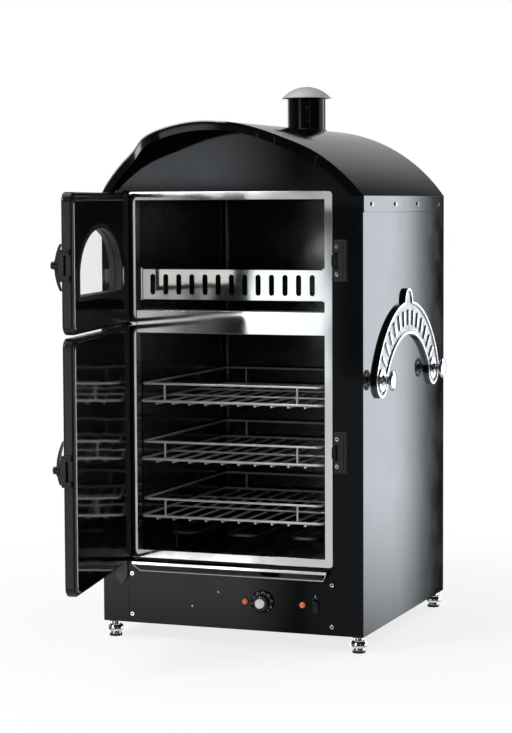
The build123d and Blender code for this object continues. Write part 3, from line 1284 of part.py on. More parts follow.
# Cast arches: a raised border, a sunk field with radial ribs and a boss under each knob
for side, sign in (("left", -1), ("right", 1)):
    with BuildPart() as side_arch:
        with BuildSketch(sideways(sign * OUTSIDE)):
            arch_outline()
        extrude(amount=sign * ARCH_THICKNESS)
        with BuildSketch(sideways(sign * (OUTSIDE + ARCH_THICKNESS - ARCH_RECESS))) as field:
            arch_outline()
            offset(amount=-ARCH_BORDER, mode=Mode.REPLACE)
            foot_z = BASE + ARCH_FOOT_RISE
            with Locations((-ARCH_FOOT_HALF, foot_z), (ARCH_FOOT_HALF, foot_z)):
                Circle(BOSS_RADIUS, mode=Mode.SUBTRACT)
            mean_radius = (ARCH_OUTER_RADIUS + ARCH_INNER_RADIUS) / 2
            first = 90 - ARCH_RIB_STEP * (ARCH_RIB_COUNT - 1) / 2
            with Locations((0, BASE + (ARCH_OUTER_RISE + ARCH_INNER_RISE) / 2)):
                span = ARCH_RIB_STEP * ARCH_RIB_COUNT
                with PolarLocations(mean_radius, ARCH_RIB_COUNT, first, span):
                    SlotOverall(ARCH_RIB_LENGTH, ARCH_RIB_WIDTH, mode=Mode.SUBTRACT)
        extrude(amount=sign * ARCH_RECESS, mode=Mode.SUBTRACT)
        with BuildSketch(sideways(sign * OUTSIDE)):
            with Locations((-ARCH_FOOT_HALF, foot_z), (ARCH_FOOT_HALF, foot_z)):
                Circle(KNOB_STUD / 2 + FIT)
        extrude(amount=sign * ARCH_THICKNESS, mode=Mode.SUBTRACT)
    side_arch.part.label = f"side_arch_{side}"
    export_step(side_arch.part, f"parts/side_arch_{side}.step")

# Knobs that fasten the arches: a turned mushroom head on a stud through the side panel
with BuildPart() as arch_knobs:
    with BuildSketch(Plane.XZ):
        with BuildLine():
            neck = KNOB_NECK / 2
            head = KNOB_HEAD / 2
            shoulder = KNOB_HEIGHT - KNOB_HEAD_HEIGHT
            Polyline(
                (0, KNOB_HEIGHT),
                (0, -KNOB_STUD_LENGTH),
                (KNOB_STUD / 2, -KNOB_STUD_LENGTH),
                (KNOB_STUD / 2, 0),
                (neck + KNOB_FLARE, 0),
                (neck, KNOB_FLARE_HEIGHT),
                (neck, shoulder - KNOB_FLARE),
                (neck + KNOB_FLARE, shoulder),
                (head - KNOB_RIM_SLOPE, shoulder + KNOB_RIM_SLOPE / 2),
                (head, shoulder + KNOB_RIM),
            )
            dome_rise = KNOB_HEAD_HEIGHT - KNOB_RIM
            dome = (head**2 + dome_rise**2) / (2 * dome_rise)
            RadiusArc((head, shoulder + KNOB_RIM), (0, KNOB_HEIGHT), -dome)
        make_face()
    revolve(axis=Axis.Z)
with BuildPart() as casting_knobs:
    for sign in (-1, 1):
        for y in (-ARCH_FOOT_HALF, ARCH_FOOT_HALF):
            spot = (sign * (OUTSIDE + ARCH_THICKNESS), y, BASE + ARCH_FOOT_RISE)
            with Locations(Plane(origin=spot, x_dir=(0, 1, 0), z_dir=(sign, 0, 0)).location):
                add(arch_knobs.part)
casting_knobs.part.label = "casting_knobs"
export_step(casting_knobs.part, "parts/casting_knobs.step")

# Feet: a turned ball on a flange and stud, over a rubber pad
with BuildPart() as foot:
    with BuildSketch(Plane.XZ):
        with Locations((0, BALL_CENTRE)):
            Ellipse(BALL_RADIUS, BALL_HALF_HEIGHT)
        with Locations((0, BASE / 2 + PAD_HEIGHT / 2)):
            Rectangle(2 * FOOT_NECK, BASE - PAD_HEIGHT)
        with Locations((0, BASE - FOOT_FLANGE_HEIGHT / 2)):
            Rectangle(2 * FOOT_FLANGE, FOOT_FLANGE_HEIGHT)
        with Locations((0, BASE + FOOT_STUD_LENGTH / 2)):
            Rectangle(FOOT_STUD, FOOT_STUD_LENGTH)
        with Locations((BALL_RADIUS, BASE)):
            Rectangle(2 * BALL_RADIUS, 2 * (BASE - PAD_HEIGHT), mode=Mode.INTERSECT)
    revolve(axis=Axis.Z)
with BuildPart() as feet:
    with GridLocations(2 * FOOT_X, 2 * FOOT_Y, 2, 2):
        add(foot.part)
feet.part.label = "feet"
export_step(feet.part, "parts/feet.step")

with BuildPart() as foot_pads:
    with BuildSketch(Plane.XY):
        with GridLocations(2 * FOOT_X, 2 * FOOT_Y, 2, 2):
            Circle(PAD_RADIUS)
    extrude(amount=PAD_HEIGHT)
foot_pads.part.label = "foot_pads"
export_step(foot_pads.part, "parts/foot_pads.step")

# Supply connection on the back: a box and a cable gland that points down
with BuildPart() as terminal_box:
    with BuildSketch(upright(BACK)):
        with Locations((BOX_X, BASE + BOX_RISE)):
            RectangleRounded(BOX_WIDTH, BOX_HEIGHT, BOX_EDGE)
    extrude(amount=-BOX_DEPTH)
    fillet(terminal_box.faces().sort_by(Axis.Y)[-1].edges(), BOX_EDGE / 2)
    with BuildSketch(Plane.XY.offset(BASE + BOX_RISE - BOX_HEIGHT / 2)):
        with Locations((BOX_X, BACK + BOX_DEPTH / 2)):
            Circle(GLAND_BORE / 2)
    extrude(amount=BOX_HEIGHT / 2, mode=Mode.SUBTRACT)
terminal_box.part.label = "terminal_box"
export_step(terminal_box.part, "parts/terminal_box.step")

with BuildPart() as cable_gland:
    gland_top = BASE + BOX_RISE - BOX_HEIGHT / 2
    with BuildSketch(Plane.XY.offset(gland_top - GLAND_HEX_HEIGHT)):
        with Locations((BOX_X, BACK + BOX_DEPTH / 2)):
            RegularPolygon(GLAND_HEX / 2, 6)
    extrude(amount=GLAND_HEX_HEIGHT)
    with BuildSketch(Plane.XY.offset(gland_top - GLAND_HEX_HEIGHT)):
        with Locations((BOX_X, BACK + BOX_DEPTH / 2)):
            Circle(GLAND_NUT / 2)
    extrude(amount=-(GLAND_LENGTH - GLAND_HEX_HEIGHT), taper=GLAND_TAPER)
    with BuildSketch(Plane.XY.offset(gland_top)):
        with Locations((BOX_X, BACK + BOX_DEPTH / 2)):
            Circle(GLAND_BORE / 2)
    extrude(amount=-GLAND_LENGTH, mode=Mode.SUBTRACT)
cable_gland.part.label = "cable_gland"
export_step(cable_gland.part, "parts/cable_gland.step")
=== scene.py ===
import logging
import math
from collections.abc import Callable, Sequence
from dataclasses import dataclass, field
from enum import Enum
from typing import Any

import bmesh
import bpy
from mathutils import Matrix, Vector


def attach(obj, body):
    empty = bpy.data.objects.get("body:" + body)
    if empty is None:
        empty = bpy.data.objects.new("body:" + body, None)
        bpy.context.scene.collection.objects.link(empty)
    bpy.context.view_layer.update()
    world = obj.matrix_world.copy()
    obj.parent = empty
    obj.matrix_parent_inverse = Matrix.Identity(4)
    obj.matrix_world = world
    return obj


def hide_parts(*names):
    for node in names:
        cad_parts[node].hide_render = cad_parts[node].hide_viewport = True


logging.basicConfig(level=logging.INFO, format="%(message)s")
LOG = logging.getLogger("baked_potato_oven")

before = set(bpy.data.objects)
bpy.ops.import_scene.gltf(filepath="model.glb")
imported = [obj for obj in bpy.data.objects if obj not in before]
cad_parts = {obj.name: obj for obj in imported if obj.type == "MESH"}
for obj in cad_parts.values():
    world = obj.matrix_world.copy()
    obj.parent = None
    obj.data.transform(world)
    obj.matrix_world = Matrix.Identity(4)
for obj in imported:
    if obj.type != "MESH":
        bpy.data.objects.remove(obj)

MM = 0.001
Point = tuple[float, float]
Outline = list[Point]

# Octaves of detail in a finish's patches, smears, grain and waves
PATCH_DETAIL = 5.0
SMEAR_DETAIL = 6.0
GRAIN_DETAIL = 3.0
WAVE_DETAIL = 1.0

# How much finer smears are than patches of colour, and how rough a coat of lacquer is
SMEAR_RATE = 3.1
COAT_ROUGHNESS = 0.04

# Distance in metres at which vertices merge, and degrees under which faces count as one
MERGE = 4e-6
FLAT = 0.4

# How far a plate's flat faces are drawn in from its edges, in millimetres
RIM = 0.2

# The least cosine that the inset of a sharp corner is divided by
LEAST_COSINE = 0.35

# Sizes that several sub-assemblies share, in millimetres
FRONT = -260.0
BACK = 260.0
BASE = 31.0
EAVE = 821.0
OUTSIDE = 255.0
KEEPER_RISES = {"upper": 675.0, "lower": 332.0}
CAST_FIELD = 4.0


class Body(Enum):
    """The bodies that pieces ride on."""

    CABINET = "cabinet"
    UPPER_DOOR = "upper_door"
    LOWER_DOOR = "lower_door"
    UPPER_LEVER = "upper_lever"
    LOWER_LEVER = "lower_lever"
    LOWER_RACK = "lower_rack"
    MIDDLE_RACK = "middle_rack"
    UPPER_RACK = "upper_rack"
    DIAL = "thermostat_dial"
    ROCKER = "power_rocker"


class Grain(Enum):
    """How the fine relief of a finish runs."""

    EVEN = (1.0, 1.0, 1.0)
    ACROSS = (0.04, 1.0, 1.0)


def stand(name: str, data: bpy.types.ID) -> bpy.types.Object:
    """Puts an object that holds this data into the scene.

    Args:
        name: The object's name.
        data: What it shows.

    Returns:
        The object.
    """
    thing = bpy.data.objects.new(name, data)
    bpy.context.scene.collection.objects.link(thing)
    return thing


def mesh_data(name: str, mesh: bmesh.types.BMesh) -> bpy.types.Mesh:
    """Writes a bmesh into mesh data of its own and lets go of it.

    Args:
        name: The data's name.
        mesh: The bmesh, which is used up.

    Returns:
        The mesh data.
    """
    data = bpy.data.meshes.new(name)
    mesh.to_mesh(data)
    mesh.free()
    return data


class Net:
    """The nodes of one material or world, joined in few words."""

    def __init__(self, owner: bpy.types.Material | bpy.types.World) -> None:
        """Turns on the nodes of their owner."""
        owner.use_nodes = True
        self.tree = owner.node_tree

    def feed(self, node: bpy.types.Node, inputs: dict[str | int, Any]) -> bpy.types.Node:
        """Fills a node's inputs.

        Args:
            node: The node.
            inputs: A value, or the output to join, for each input's name or number.

        Returns:
            The same node.
        """
        for key, value in inputs.items():
            if isinstance(value, bpy.types.NodeSocket):
                self.tree.links.new(value, node.inputs[key])
            else:
                node.inputs[key].default_value = value
        return node

    def add(self, kind: str, inputs: dict[str | int, Any] | None = None, **choices: str) -> bpy.types.Node:
        """Adds a shader node.

        Args:
            kind: Its type, without the first word.
            inputs: What goes into it.
            choices: Its settings that aren't inputs.

        Returns:
            The new node.
        """
        node = self.tree.nodes.new(f"ShaderNode{kind}")
        for name, value in choices.items():
            setattr(node, name, value)
        return self.feed(node, inputs or {})

    def place(self) -> bpy.types.NodeSocket:
        """Gives Object coordinates."""
        return self.add("TexCoord").outputs["Object"]

    def noise(self, place: bpy.types.NodeSocket, scale: float, detail: float) -> bpy.types.NodeSocket:
        """Adds noise.

        Args:
            place: The coordinates that it reads.
            scale: Cycles per metre.
            detail: Octaves of detail.

        Returns:
            The noise's strength.
        """
        noise = self.add("TexNoise", {"Vector": place, "Scale": scale, "Detail": detail})
        return noise.outputs["Fac"]

    def bump(self, height: bpy.types.NodeSocket, depth: float, **under: Any) -> bpy.types.NodeSocket:
        """Adds relief.

        Args:
            height: What raises it.
            depth: Its depth in metres.
            under: Relief that it lies on, as Normal.

        Returns:
            The normal.
        """
        inputs = {"Strength": 1.0, "Distance": depth, "Height": height, **under}
        return self.add("Bump", inputs).outputs["Normal"]

    def maths(self, operation: str, first: Any, second: Any) -> bpy.types.NodeSocket:
        """Works out a sum, a product or the like of two values."""
        return self.add("Math", {0: first, 1: second}, operation=operation).outputs["Value"]

    def spread(
        self, value: bpy.types.NodeSocket, source: Point, target: Point, kind: str = "SMOOTHSTEP"
    ) -> bpy.types.NodeSocket:
        """Maps one range of a value on to another.

        Args:
            value: The value.
            source: Where it starts and is full.
            target: What it becomes there.
            kind: The way from the one to the other.

        Returns:
            The mapped value.
        """
        names = ("From Min", "From Max", "To Min", "To Max")
        inputs = {"Value": value, **dict(zip(names, (*source, *target)))}
        return self.add("MapRange", inputs, interpolation_type=kind).outputs["Result"]

    def end(self, surface: bpy.types.NodeSocket) -> None:
        """Joins a shader to the owner's output."""
        output = next(node for node in self.tree.nodes if "OUTPUT" in node.type)
        self.tree.links.new(surface, output.inputs["Surface"])


@dataclass(frozen=True)
class Finish:
    """One procedural finish: colour, gloss, patchy wear and fine relief.

    Scales are in cycles per metre and depths in metres.
    """

    slot: str
    colour: tuple[float, float, float]
    shade: tuple[float, float, float]
    gloss: tuple[float, float]
    metallic: float = 0.0
    specular: float = 0.5
    coat: float = 0.0
    transmission: float = 0.0
    ior: float = 1.5
    patch_scale: float = 9.0
    grain_scale: float = 900.0
    grain_depth: float = 10e-6
    grain: Grain = Grain.EVEN
    wave_scale: float = 0.0
    wave_depth: float = 0.0
    glow: float = 0.0

    def make(self, name: str) -> bpy.types.Material:
        """Builds the material.

        Args:
            name: The name of the finish.

        Returns:
            The finished material.
        """
        material = bpy.data.materials.new(name)
        net = Net(material)
        place = net.place()
        patches = net.add("ValToRGB", {"Fac": net.noise(place, self.patch_scale, PATCH_DETAIL)})
        stops = ((0.32, self.shade), (0.68, self.colour))
        for stop, (position, colour) in zip(patches.color_ramp.elements, stops):
            stop.position = position
            stop.color = (*colour, 1.0)
        smears = net.noise(place, self.patch_scale * SMEAR_RATE, SMEAR_DETAIL)
        turned = net.add("Mapping", {"Vector": place, "Scale": self.grain.value}).outputs["Vector"]
        under = {}
        if self.wave_depth > 0:
            waves = net.noise(place, self.wave_scale, WAVE_DETAIL)
            under["Normal"] = net.bump(waves, self.wave_depth)
        grain = net.noise(turned, self.grain_scale, GRAIN_DETAIL)
        inputs = {
            "Base Color": patches.outputs["Color"],
            "Metallic": self.metallic,
            "Roughness": net.spread(smears, (0.3, 0.7), self.gloss, "LINEAR"),
            "Normal": net.bump(grain, self.grain_depth, **under),
            "IOR": self.ior,
            "Specular IOR Level": self.specular,
            "Transmission Weight": self.transmission,
            "Coat Weight": self.coat,
            "Coat Roughness": COAT_ROUGHNESS,
        }
        if self.glow > 0:
            inputs |= {"Emission Color": (*self.colour, 1.0), "Emission Strength": self.glow}
        net.feed(net.tree.nodes["Principled BSDF"], inputs)
        return material


FINISHES: dict[str, Finish] = {
    "black_enamel": Finish(
        "black_enamel", (0.0025, 0.0032, 0.0040), (0.0018, 0.0020, 0.0024), (0.05, 0.09),
        specular=0.10, patch_scale=5.0, grain_scale=420.0, grain_depth=12e-6,
    ),
    "door_enamel": Finish(
        "black_enamel", (0.008, 0.009, 0.010), (0.005, 0.005, 0.006), (0.16, 0.24),
        specular=0.3, patch_scale=6.0, grain_scale=420.0, grain_depth=12e-6,
    ),
    # painted shade: a darker copy of the mirror steel for the steel inside the oven, where shade falls
    "shaded_liner_steel": Finish(
        "mirror_steel", (0.21, 0.207, 0.20), (0.16, 0.157, 0.15), (0.10, 0.18),
        metallic=1.0, patch_scale=8.0, grain_scale=1400.0, grain_depth=2e-6, grain=Grain.ACROSS,
        wave_scale=7.0, wave_depth=0.0012,
    ),
    "mirror_steel": Finish(
        "mirror_steel", (0.66, 0.655, 0.63), (0.60, 0.595, 0.57), (0.05, 0.10),
        metallic=1.0, patch_scale=7.0, grain_scale=1400.0, grain_depth=2e-6, grain=Grain.ACROSS,
        wave_scale=7.0, wave_depth=0.0012,
    ),
    "bright_wire": Finish(
        "bright_wire", (0.74, 0.73, 0.70), (0.60, 0.58, 0.55), (0.32, 0.46),
        metallic=0.6, patch_scale=30.0, grain_scale=1800.0, grain_depth=10e-6,
    ),
    "polished_casting": Finish(
        "polished_casting", (0.70, 0.70, 0.71), (0.55, 0.55, 0.56), (0.12, 0.24),
        metallic=1.0, patch_scale=22.0, grain_scale=700.0, grain_depth=60e-6,
    ),
    "cast_field": Finish(
        "polished_casting", (0.34, 0.34, 0.34), (0.20, 0.20, 0.20), (0.38, 0.55),
        metallic=1.0, patch_scale=60.0, grain_scale=520.0, grain_depth=250e-6,
    ),
    "cap_alloy": Finish(
        "mirror_steel", (0.46, 0.45, 0.43), (0.40, 0.39, 0.37), (0.48, 0.58),
        metallic=0.2, patch_scale=20.0, grain_scale=1400.0, grain_depth=10e-6,
    ),
    # painted highlight: a light grey, mostly unmetallic steel for the bright line along the sill's edge
    "painted_highlight_steel": Finish(
        "mirror_steel", (0.74, 0.74, 0.73), (0.66, 0.66, 0.65), (0.26, 0.36),
        metallic=0.2, patch_scale=16.0, grain_scale=1400.0, grain_depth=4e-6,
    ),
    "spun_cap": Finish(
        "chrome", (0.90, 0.90, 0.90), (0.84, 0.84, 0.84), (0.40, 0.50),
        metallic=0.05, patch_scale=60.0, grain_scale=2600.0, grain_depth=10e-6,
    ),
    "chrome": Finish(
        "chrome", (0.78, 0.78, 0.79), (0.70, 0.70, 0.71), (0.03, 0.07),
        metallic=1.0, patch_scale=40.0, grain_scale=1600.0, grain_depth=2e-6,
    ),
    "black_fitting": Finish(
        "black_fitting", (0.008, 0.008, 0.009), (0.005, 0.005, 0.006), (0.14, 0.26),
        specular=0.3, patch_scale=30.0, grain_scale=1500.0, grain_depth=40e-6,
    ),
    "black_plastic": Finish(
        "black_plastic", (0.006, 0.006, 0.007), (0.004, 0.004, 0.005), (0.14, 0.24),
        specular=0.22, patch_scale=40.0, grain_scale=2200.0, grain_depth=20e-6,
    ),
    "amber_lens": Finish(
        "amber_lens", (0.86, 0.20, 0.07), (0.72, 0.12, 0.04), (0.04, 0.08),
        coat=1.0, glow=0.12, patch_scale=120.0, grain_scale=900.0, grain_depth=40e-6,
    ),
    "rubber": Finish(
        "rubber", (0.012, 0.012, 0.012), (0.020, 0.019, 0.018), (0.42, 0.60),
        patch_scale=60.0, grain_scale=1200.0, grain_depth=60e-6,
    ),
    "element_sheath": Finish(
        "element_sheath", (0.22, 0.20, 0.18), (0.10, 0.09, 0.085), (0.28, 0.45),
        metallic=1.0, patch_scale=26.0, grain_scale=1500.0, grain_depth=30e-6,
    ),
    "white_print": Finish(
        "black_plastic", (0.82, 0.82, 0.80), (0.70, 0.70, 0.68), (0.40, 0.50),
        patch_scale=200.0, grain_scale=2400.0, grain_depth=10e-6,
    ),
    "clear_glass": Finish(
        "clear_glass", (1.0, 1.0, 1.0), (1.0, 1.0, 1.0), (0.0, 0.01),
        transmission=1.0, ior=1.1, patch_scale=6.0, grain_scale=60.0, grain_depth=0.0,
    ),
}


class Paint:
    """Keeps one material for each finish and puts it on pieces and nodes."""

    NODES: dict[str, tuple[str, ...]] = {
        "black_enamel": (
            "base_pan", "side_panel_left", "side_panel_right", "front_frame", "arch_front",
            "arch_back", "back_panel", "roof", "eave_strip_left", "eave_strip_right", "fascia",
            "flue_tube", "terminal_box",
        ),
        "door_enamel": ("upper_door_shell", "lower_door_shell"),
        "mirror_steel": (
            "door_trim", "divider", "guard_rail", "guard_channels", "drip_sill",
            "upper_door_panel", "lower_door_panel",
        ),
        "cap_alloy": ("flue_cap",),
        # painted shade: the steel inside the oven takes the darker copy of the mirror steel
        "shaded_liner_steel": (
            "display_liner", "oven_liner", "rack_runner_left", "rack_runner_right",
            "element_stools", "flue_box",
        ),
        "bright_wire": ("rack_lower", "rack_middle", "rack_upper"),
        "polished_casting": ("side_arch_left", "side_arch_right"),
        "chrome": (
            "casting_knobs", "feet", "dial_cap", "eave_screws", "fascia_screws",
            "keeper_screws",
        ),
        "black_fitting": (
            "hinge_bottom", "hinge_middle", "hinge_top", "upper_latch_body",
            "lower_latch_body", "upper_latch_lever", "lower_latch_lever", "upper_keeper",
            "lower_keeper",
        ),
        "black_plastic": ("dial", "switch_body", "switch_rocker", "thermostat", "cable_gland"),
        "amber_lens": ("heat_lamp", "power_lamp"),
        "rubber": ("foot_pads", "window_gasket"),
        "clear_glass": ("door_glass",),
        "element_sheath": ("heating_element",),
    }

    def __init__(self) -> None:
        """Builds every finish once."""
        self.materials = {name: finish.make(name) for name, finish in FINISHES.items()}

    def coat(self, thing: bpy.types.Object, finish: str) -> None:
        """Gives one object a finish, in place of what it has."""
        thing.data.materials.clear()
        thing.data.materials.append(self.materials[finish])

    def coat_nodes(self) -> None:
        """Gives every node of the frame its finish."""
        for finish, names in self.NODES.items():
            for name in names:
                self.coat(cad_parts[name], finish)
        LOG.info("finishes on %d nodes", sum(len(names) for names in self.NODES.values()))


@dataclass(frozen=True)
class Bench:
    """A flat working place: an origin and three directions, in millimetres."""

    origin: Vector
    right: Vector
    up: Vector
    out: Vector

    def at(self, u: float, v: float, w: float = 0.0) -> Vector:
        """Gives a place on the bench in metres.

        Args:
            u: Distance to the right.
            v: Distance up.
            w: Distance out of the bench.

        Returns:
            The place in the cabinet's frame.
        """
        return (self.origin + self.right * u + self.up * v + self.out * w) * MM

    def raised(self, height: float) -> "Bench":
        """Gives the same bench a little further out."""
        return Bench(self.origin + self.out * height, self.right, self.up, self.out)


FRONT_FACE = Bench(Vector((0, FRONT, 0)), Vector((1, 0, 0)), Vector((0, 0, 1)), Vector((0, -1, 0)))
RIGHT_FACE = Bench(Vector((OUTSIDE, 0, 0)), Vector((0, 1, 0)), Vector((0, 0, 1)), Vector((1, 0, 0)))
LEFT_FACE = Bench(Vector((-OUTSIDE, 0, 0)), Vector((0, -1, 0)), Vector((0, 0, 1)), Vector((-1, 0, 0)))
COUNTER = Bench(Vector((0, 0, 0)), Vector((1, 0, 0)), Vector((0, 1, 0)), Vector((0, 0, 1)))


def arc(centre: Point, radius: float, start: float, end: float, steps: int) -> Outline:
    """Samples an arc, both ends included.

    Args:
        centre: The arc's centre.
        radius: The arc's radius.
        start: First angle in degrees.
        end: Last angle in degrees.
        steps: Number of chords.

    Returns:
        The points of the arc.
    """
    turn = [math.radians(start + (end - start) * i / steps) for i in range(steps + 1)]
    return [(centre[0] + radius * math.cos(a), centre[1] + radius * math.sin(a)) for a in turn]


def circle(centre: Point, radius: float, steps: int = 32) -> Outline:
    """Samples a full circle, anticlockwise."""
    return arc(centre, radius, 0, 360 * (steps - 1) / steps, steps - 1)


def rounded(
    corners: Sequence[Point], radii: Sequence[float], steps: int = 6, closed: bool = True
) -> Outline:
    """Rounds the corners of a line.

    Args:
        corners: The corners in order.
        radii: The bend at each corner.
        steps: Chords in each bend.
        closed: Whether the line joins its own start.

    Returns:
        The points of the rounded line.
    """
    line: Outline = []
    count = len(corners)
    for index in range(count):
        here = Vector(corners[index])
        if not closed and index in (0, count - 1):
            line.append((here.x, here.y))
            continue
        before = Vector(corners[index - 1]) - here
        after = Vector(corners[(index + 1) % count]) - here
        before.normalize()
        after.normalize()
        half = before.angle(after) / 2
        bend = radii[index]
        if bend <= 0 or half > math.pi / 2 - 1e-4:
            line.append((here.x, here.y))
            continue
        centre = here + (before + after).normalized() * (bend / math.sin(half))
        start = here + before * (bend / math.tan(half)) - centre
        end = here + after * (bend / math.tan(half)) - centre
        sweep = start.angle_signed(end)
        for step in range(steps + 1):
            spoke = start.copy()
            spoke.rotate(Matrix.Rotation(-sweep * step / steps, 2))
            line.append((centre.x + spoke.x, centre.y + spoke.y))
    return line


def box_outline(
    left: float, right: float, bottom: float, top: float, bend: float, steps: int = 6
) -> Outline:
    """Outline of an upright rectangle with rounded corners, anticlockwise."""
    corners = [(left, bottom), (right, bottom), (right, top), (left, top)]
    return rounded(corners, [bend] * 4, steps)


def inset(outline: Sequence[Point], depth: float) -> Outline:
    """Moves an anticlockwise outline inwards.

    Args:
        outline: The outline.
        depth: How far it moves, outwards if negative.

    Returns:
        The moved outline, point for point.
    """
    count = len(outline)
    moved: Outline = []
    for index in range(count):
        here = Vector(outline[index])
        into = (here - Vector(outline[index - 1])).normalized()
        away = (Vector(outline[(index + 1) % count]) - here).normalized()
        normal = Vector((-into.y - away.y, into.x + away.x))
        if normal.length < 1e-6:
            normal = Vector((-into.y, into.x))
        normal.normalize()
        stretch = max(LEAST_COSINE, normal.dot(Vector((-into.y, into.x))))
        moved.append((here.x + normal.x * depth / stretch, here.y + normal.y * depth / stretch))
    return moved


class Maker:
    """Collects the mesh of one piece and hands it over as an object."""

    def __init__(self, name: str, finish: str, body: Body = Body.CABINET) -> None:
        """Starts an empty piece.

        Args:
            name: The piece's name.
            finish: The finish that it takes.
            body: The body that it rides on.
        """
        self.name = name
        self.finish = finish
        self.body = body
        self.mesh = bmesh.new()

    def ring(self, places: Sequence[Vector]) -> list[bmesh.types.BMVert]:
        """Adds a closed ring of vertices and edges.

        Args:
            places: Where its vertices go.

        Returns:
            The new vertices.
        """
        verts = [self.mesh.verts.new(place) for place in places]
        for index, vert in enumerate(verts):
            self.mesh.edges.new((vert, verts[(index + 1) % len(verts)]))
        return verts

    @staticmethod
    def edges_of(verts: Sequence[bmesh.types.BMVert]) -> list[bmesh.types.BMEdge]:
        """Finds the edges that join a ring's vertices in order.

        Args:
            verts: The ring.

        Returns:
            Its edges.
        """
        found = []
        for index, vert in enumerate(verts):
            after = verts[(index + 1) % len(verts)]
            found += [edge for edge in vert.link_edges if edge.other_vert(vert) is after]
        return found

    def draw_out(
        self, verts: Sequence[bmesh.types.BMVert], places: Sequence[Vector]
    ) -> list[bmesh.types.BMVert]:
        """Extrudes a ring of edges to new places.

        Args:
            verts: The ring to extrude.
            places: Where each of its vertices goes.

        Returns:
            The new ring, vertex for vertex.
        """
        drawn = bmesh.ops.extrude_edge_only(self.mesh, edges=self.edges_of(verts))
        fresh = {item for item in drawn["geom"] if isinstance(item, bmesh.types.BMVert)}
        moved = []
        for vert, place in zip(verts, places):
            twin = next(e.other_vert(vert) for e in vert.link_edges if e.other_vert(vert) in fresh)
            twin.co = place
            moved.append(twin)
        return moved

    def loft(self, rings: Sequence[Sequence[Vector]]) -> tuple[list, list]:
        """Skins a row of rings.

        Args:
            rings: Rings of places, all with one count.

        Returns:
            The first and the last ring of vertices.
        """
        first = self.ring(rings[0])
        last = first
        for places in rings[1:]:
            last = self.draw_out(last, places)
        return first, last

    def cap(self, *loops: Sequence[bmesh.types.BMVert]) -> None:
        """Closes one ring, or the space between an outline and its holes.

        Args:
            loops: The outline, and its holes if there are some.
        """
        edges = [edge for loop in loops for edge in self.edges_of(loop)]
        if len(loops) == 1:
            bmesh.ops.contextual_create(self.mesh, geom=edges)
        else:
            bmesh.ops.triangle_fill(self.mesh, edges=edges, use_beauty=True)

    def plate(
        self,
        bench: Bench,
        outline: Sequence[Point],
        low: float,
        high: float,
        edge: float = 0.8,
        holes: Sequence[Sequence[Point]] = (),
        steps: int = 3,
    ) -> None:
        """Makes a plate with rounded upper edges and holes.

        Args:
            bench: Where the plate lies.
            outline: Its outline, anticlockwise.
            low: Its lower face.
            high: Its upper face.
            edge: Radius of the upper edges.
            holes: Outlines of the holes, anticlockwise.
            steps: Chords in the rounding.
        """
        stations = [(RIM, low), (0.0, low)]
        if edge > 0:
            stations += [
                (edge * (1 - math.cos(a)), high - edge * (1 - math.sin(a)))
                for a in (math.pi / 2 * i / steps for i in range(steps + 1))
            ]
        else:
            stations.append((0.0, high))
        stations.append((edge + RIM, high))
        lows = []
        highs = []
        for index, shape in enumerate((outline, *holes)):
            sign = 1 if index == 0 else -1
            rings = [
                [bench.at(u, v, w) for u, v in inset(shape, sign * depth)] for depth, w in stations
            ]
            first, last = self.loft(rings)
            lows.append(first)
            highs.append(last)
        self.cap(*lows)
        self.cap(*highs)

    def turned(
        self,
        bench: Bench,
        centre: Point,
        profile: Sequence[Point],
        steps: int = 40,
    ) -> None:
        """Spins a profile about an axis that stands on a bench.

        Args:
            bench: Where the axis stands.
            centre: The axis on the bench.
            profile: Pairs of radius and height.
            steps: Chords in the turn.
        """
        verts = [self.mesh.verts.new(bench.at(centre[0] + r, centre[1], w)) for r, w in profile]
        edges = [self.mesh.edges.new(pair) for pair in zip(verts, verts[1:])]
        bmesh.ops.spin(
            self.mesh,
            geom=verts + edges,
            cent=bench.at(*centre),
            axis=bench.out,
            angle=math.tau,
            steps=steps,
            use_merge=True,
        )

    def wire(self, path: Sequence[Vector], radius: float, closed: bool = False, sides: int = 12) -> None:
        """Draws a round wire along a path.

        Args:
            path: Places in metres.
            radius: The wire's radius in millimetres.
            closed: Whether the wire joins its own start.
            sides: Sides of its section.
        """
        count = len(path)
        rings = []
        side = None
        for index in range(count):
            if closed:
                run = path[(index + 1) % count] - path[index - 1]
            else:
                run = path[min(index + 1, count - 1)] - path[max(index - 1, 0)]
            run.normalize()
            if side is None:
                side = run.orthogonal().normalized()
            side = (side - run * side.dot(run)).normalized()
            other = run.cross(side)
            rings.append(
                [
                    path[index]
                    + (side * math.cos(a) + other * math.sin(a)) * radius * MM
                    for a in (math.tau * i / sides for i in range(sides))
                ]
            )
        first, last = self.loft(rings)
        if closed:
            bmesh.ops.bridge_loops(self.mesh, edges=self.edges_of(first) + self.edges_of(last))
        else:
            self.cap(first)
            self.cap(last)

    def finish_off(
        self, paint: Paint, replaces: Sequence[str] = (), sharp: float = 32.0
    ) -> bpy.types.Object:
        """Closes seams, turns faces outwards and hands over the object.

        Args:
            paint: The finishes.
            replaces: Nodes that the piece stands for.
            sharp: Angle in degrees past which an edge stays crisp.

        Returns:
            The finished object.
        """
        bmesh.ops.remove_doubles(self.mesh, verts=self.mesh.verts, dist=MERGE)
        bmesh.ops.recalc_face_normals(self.mesh, faces=self.mesh.faces)
        data = mesh_data(self.name, self.mesh)
        for face in data.polygons:
            face.use_smooth = True
        data.set_sharp_from_angle(angle=math.radians(sharp))
        thing = stand(self.name, data)
        paint.coat(thing, self.finish)
        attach(thing, self.body.value)
        if replaces:
            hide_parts(*replaces)
        LOG.info("%s: %d faces on %s", self.name, len(data.polygons), self.body.value)
        return thing


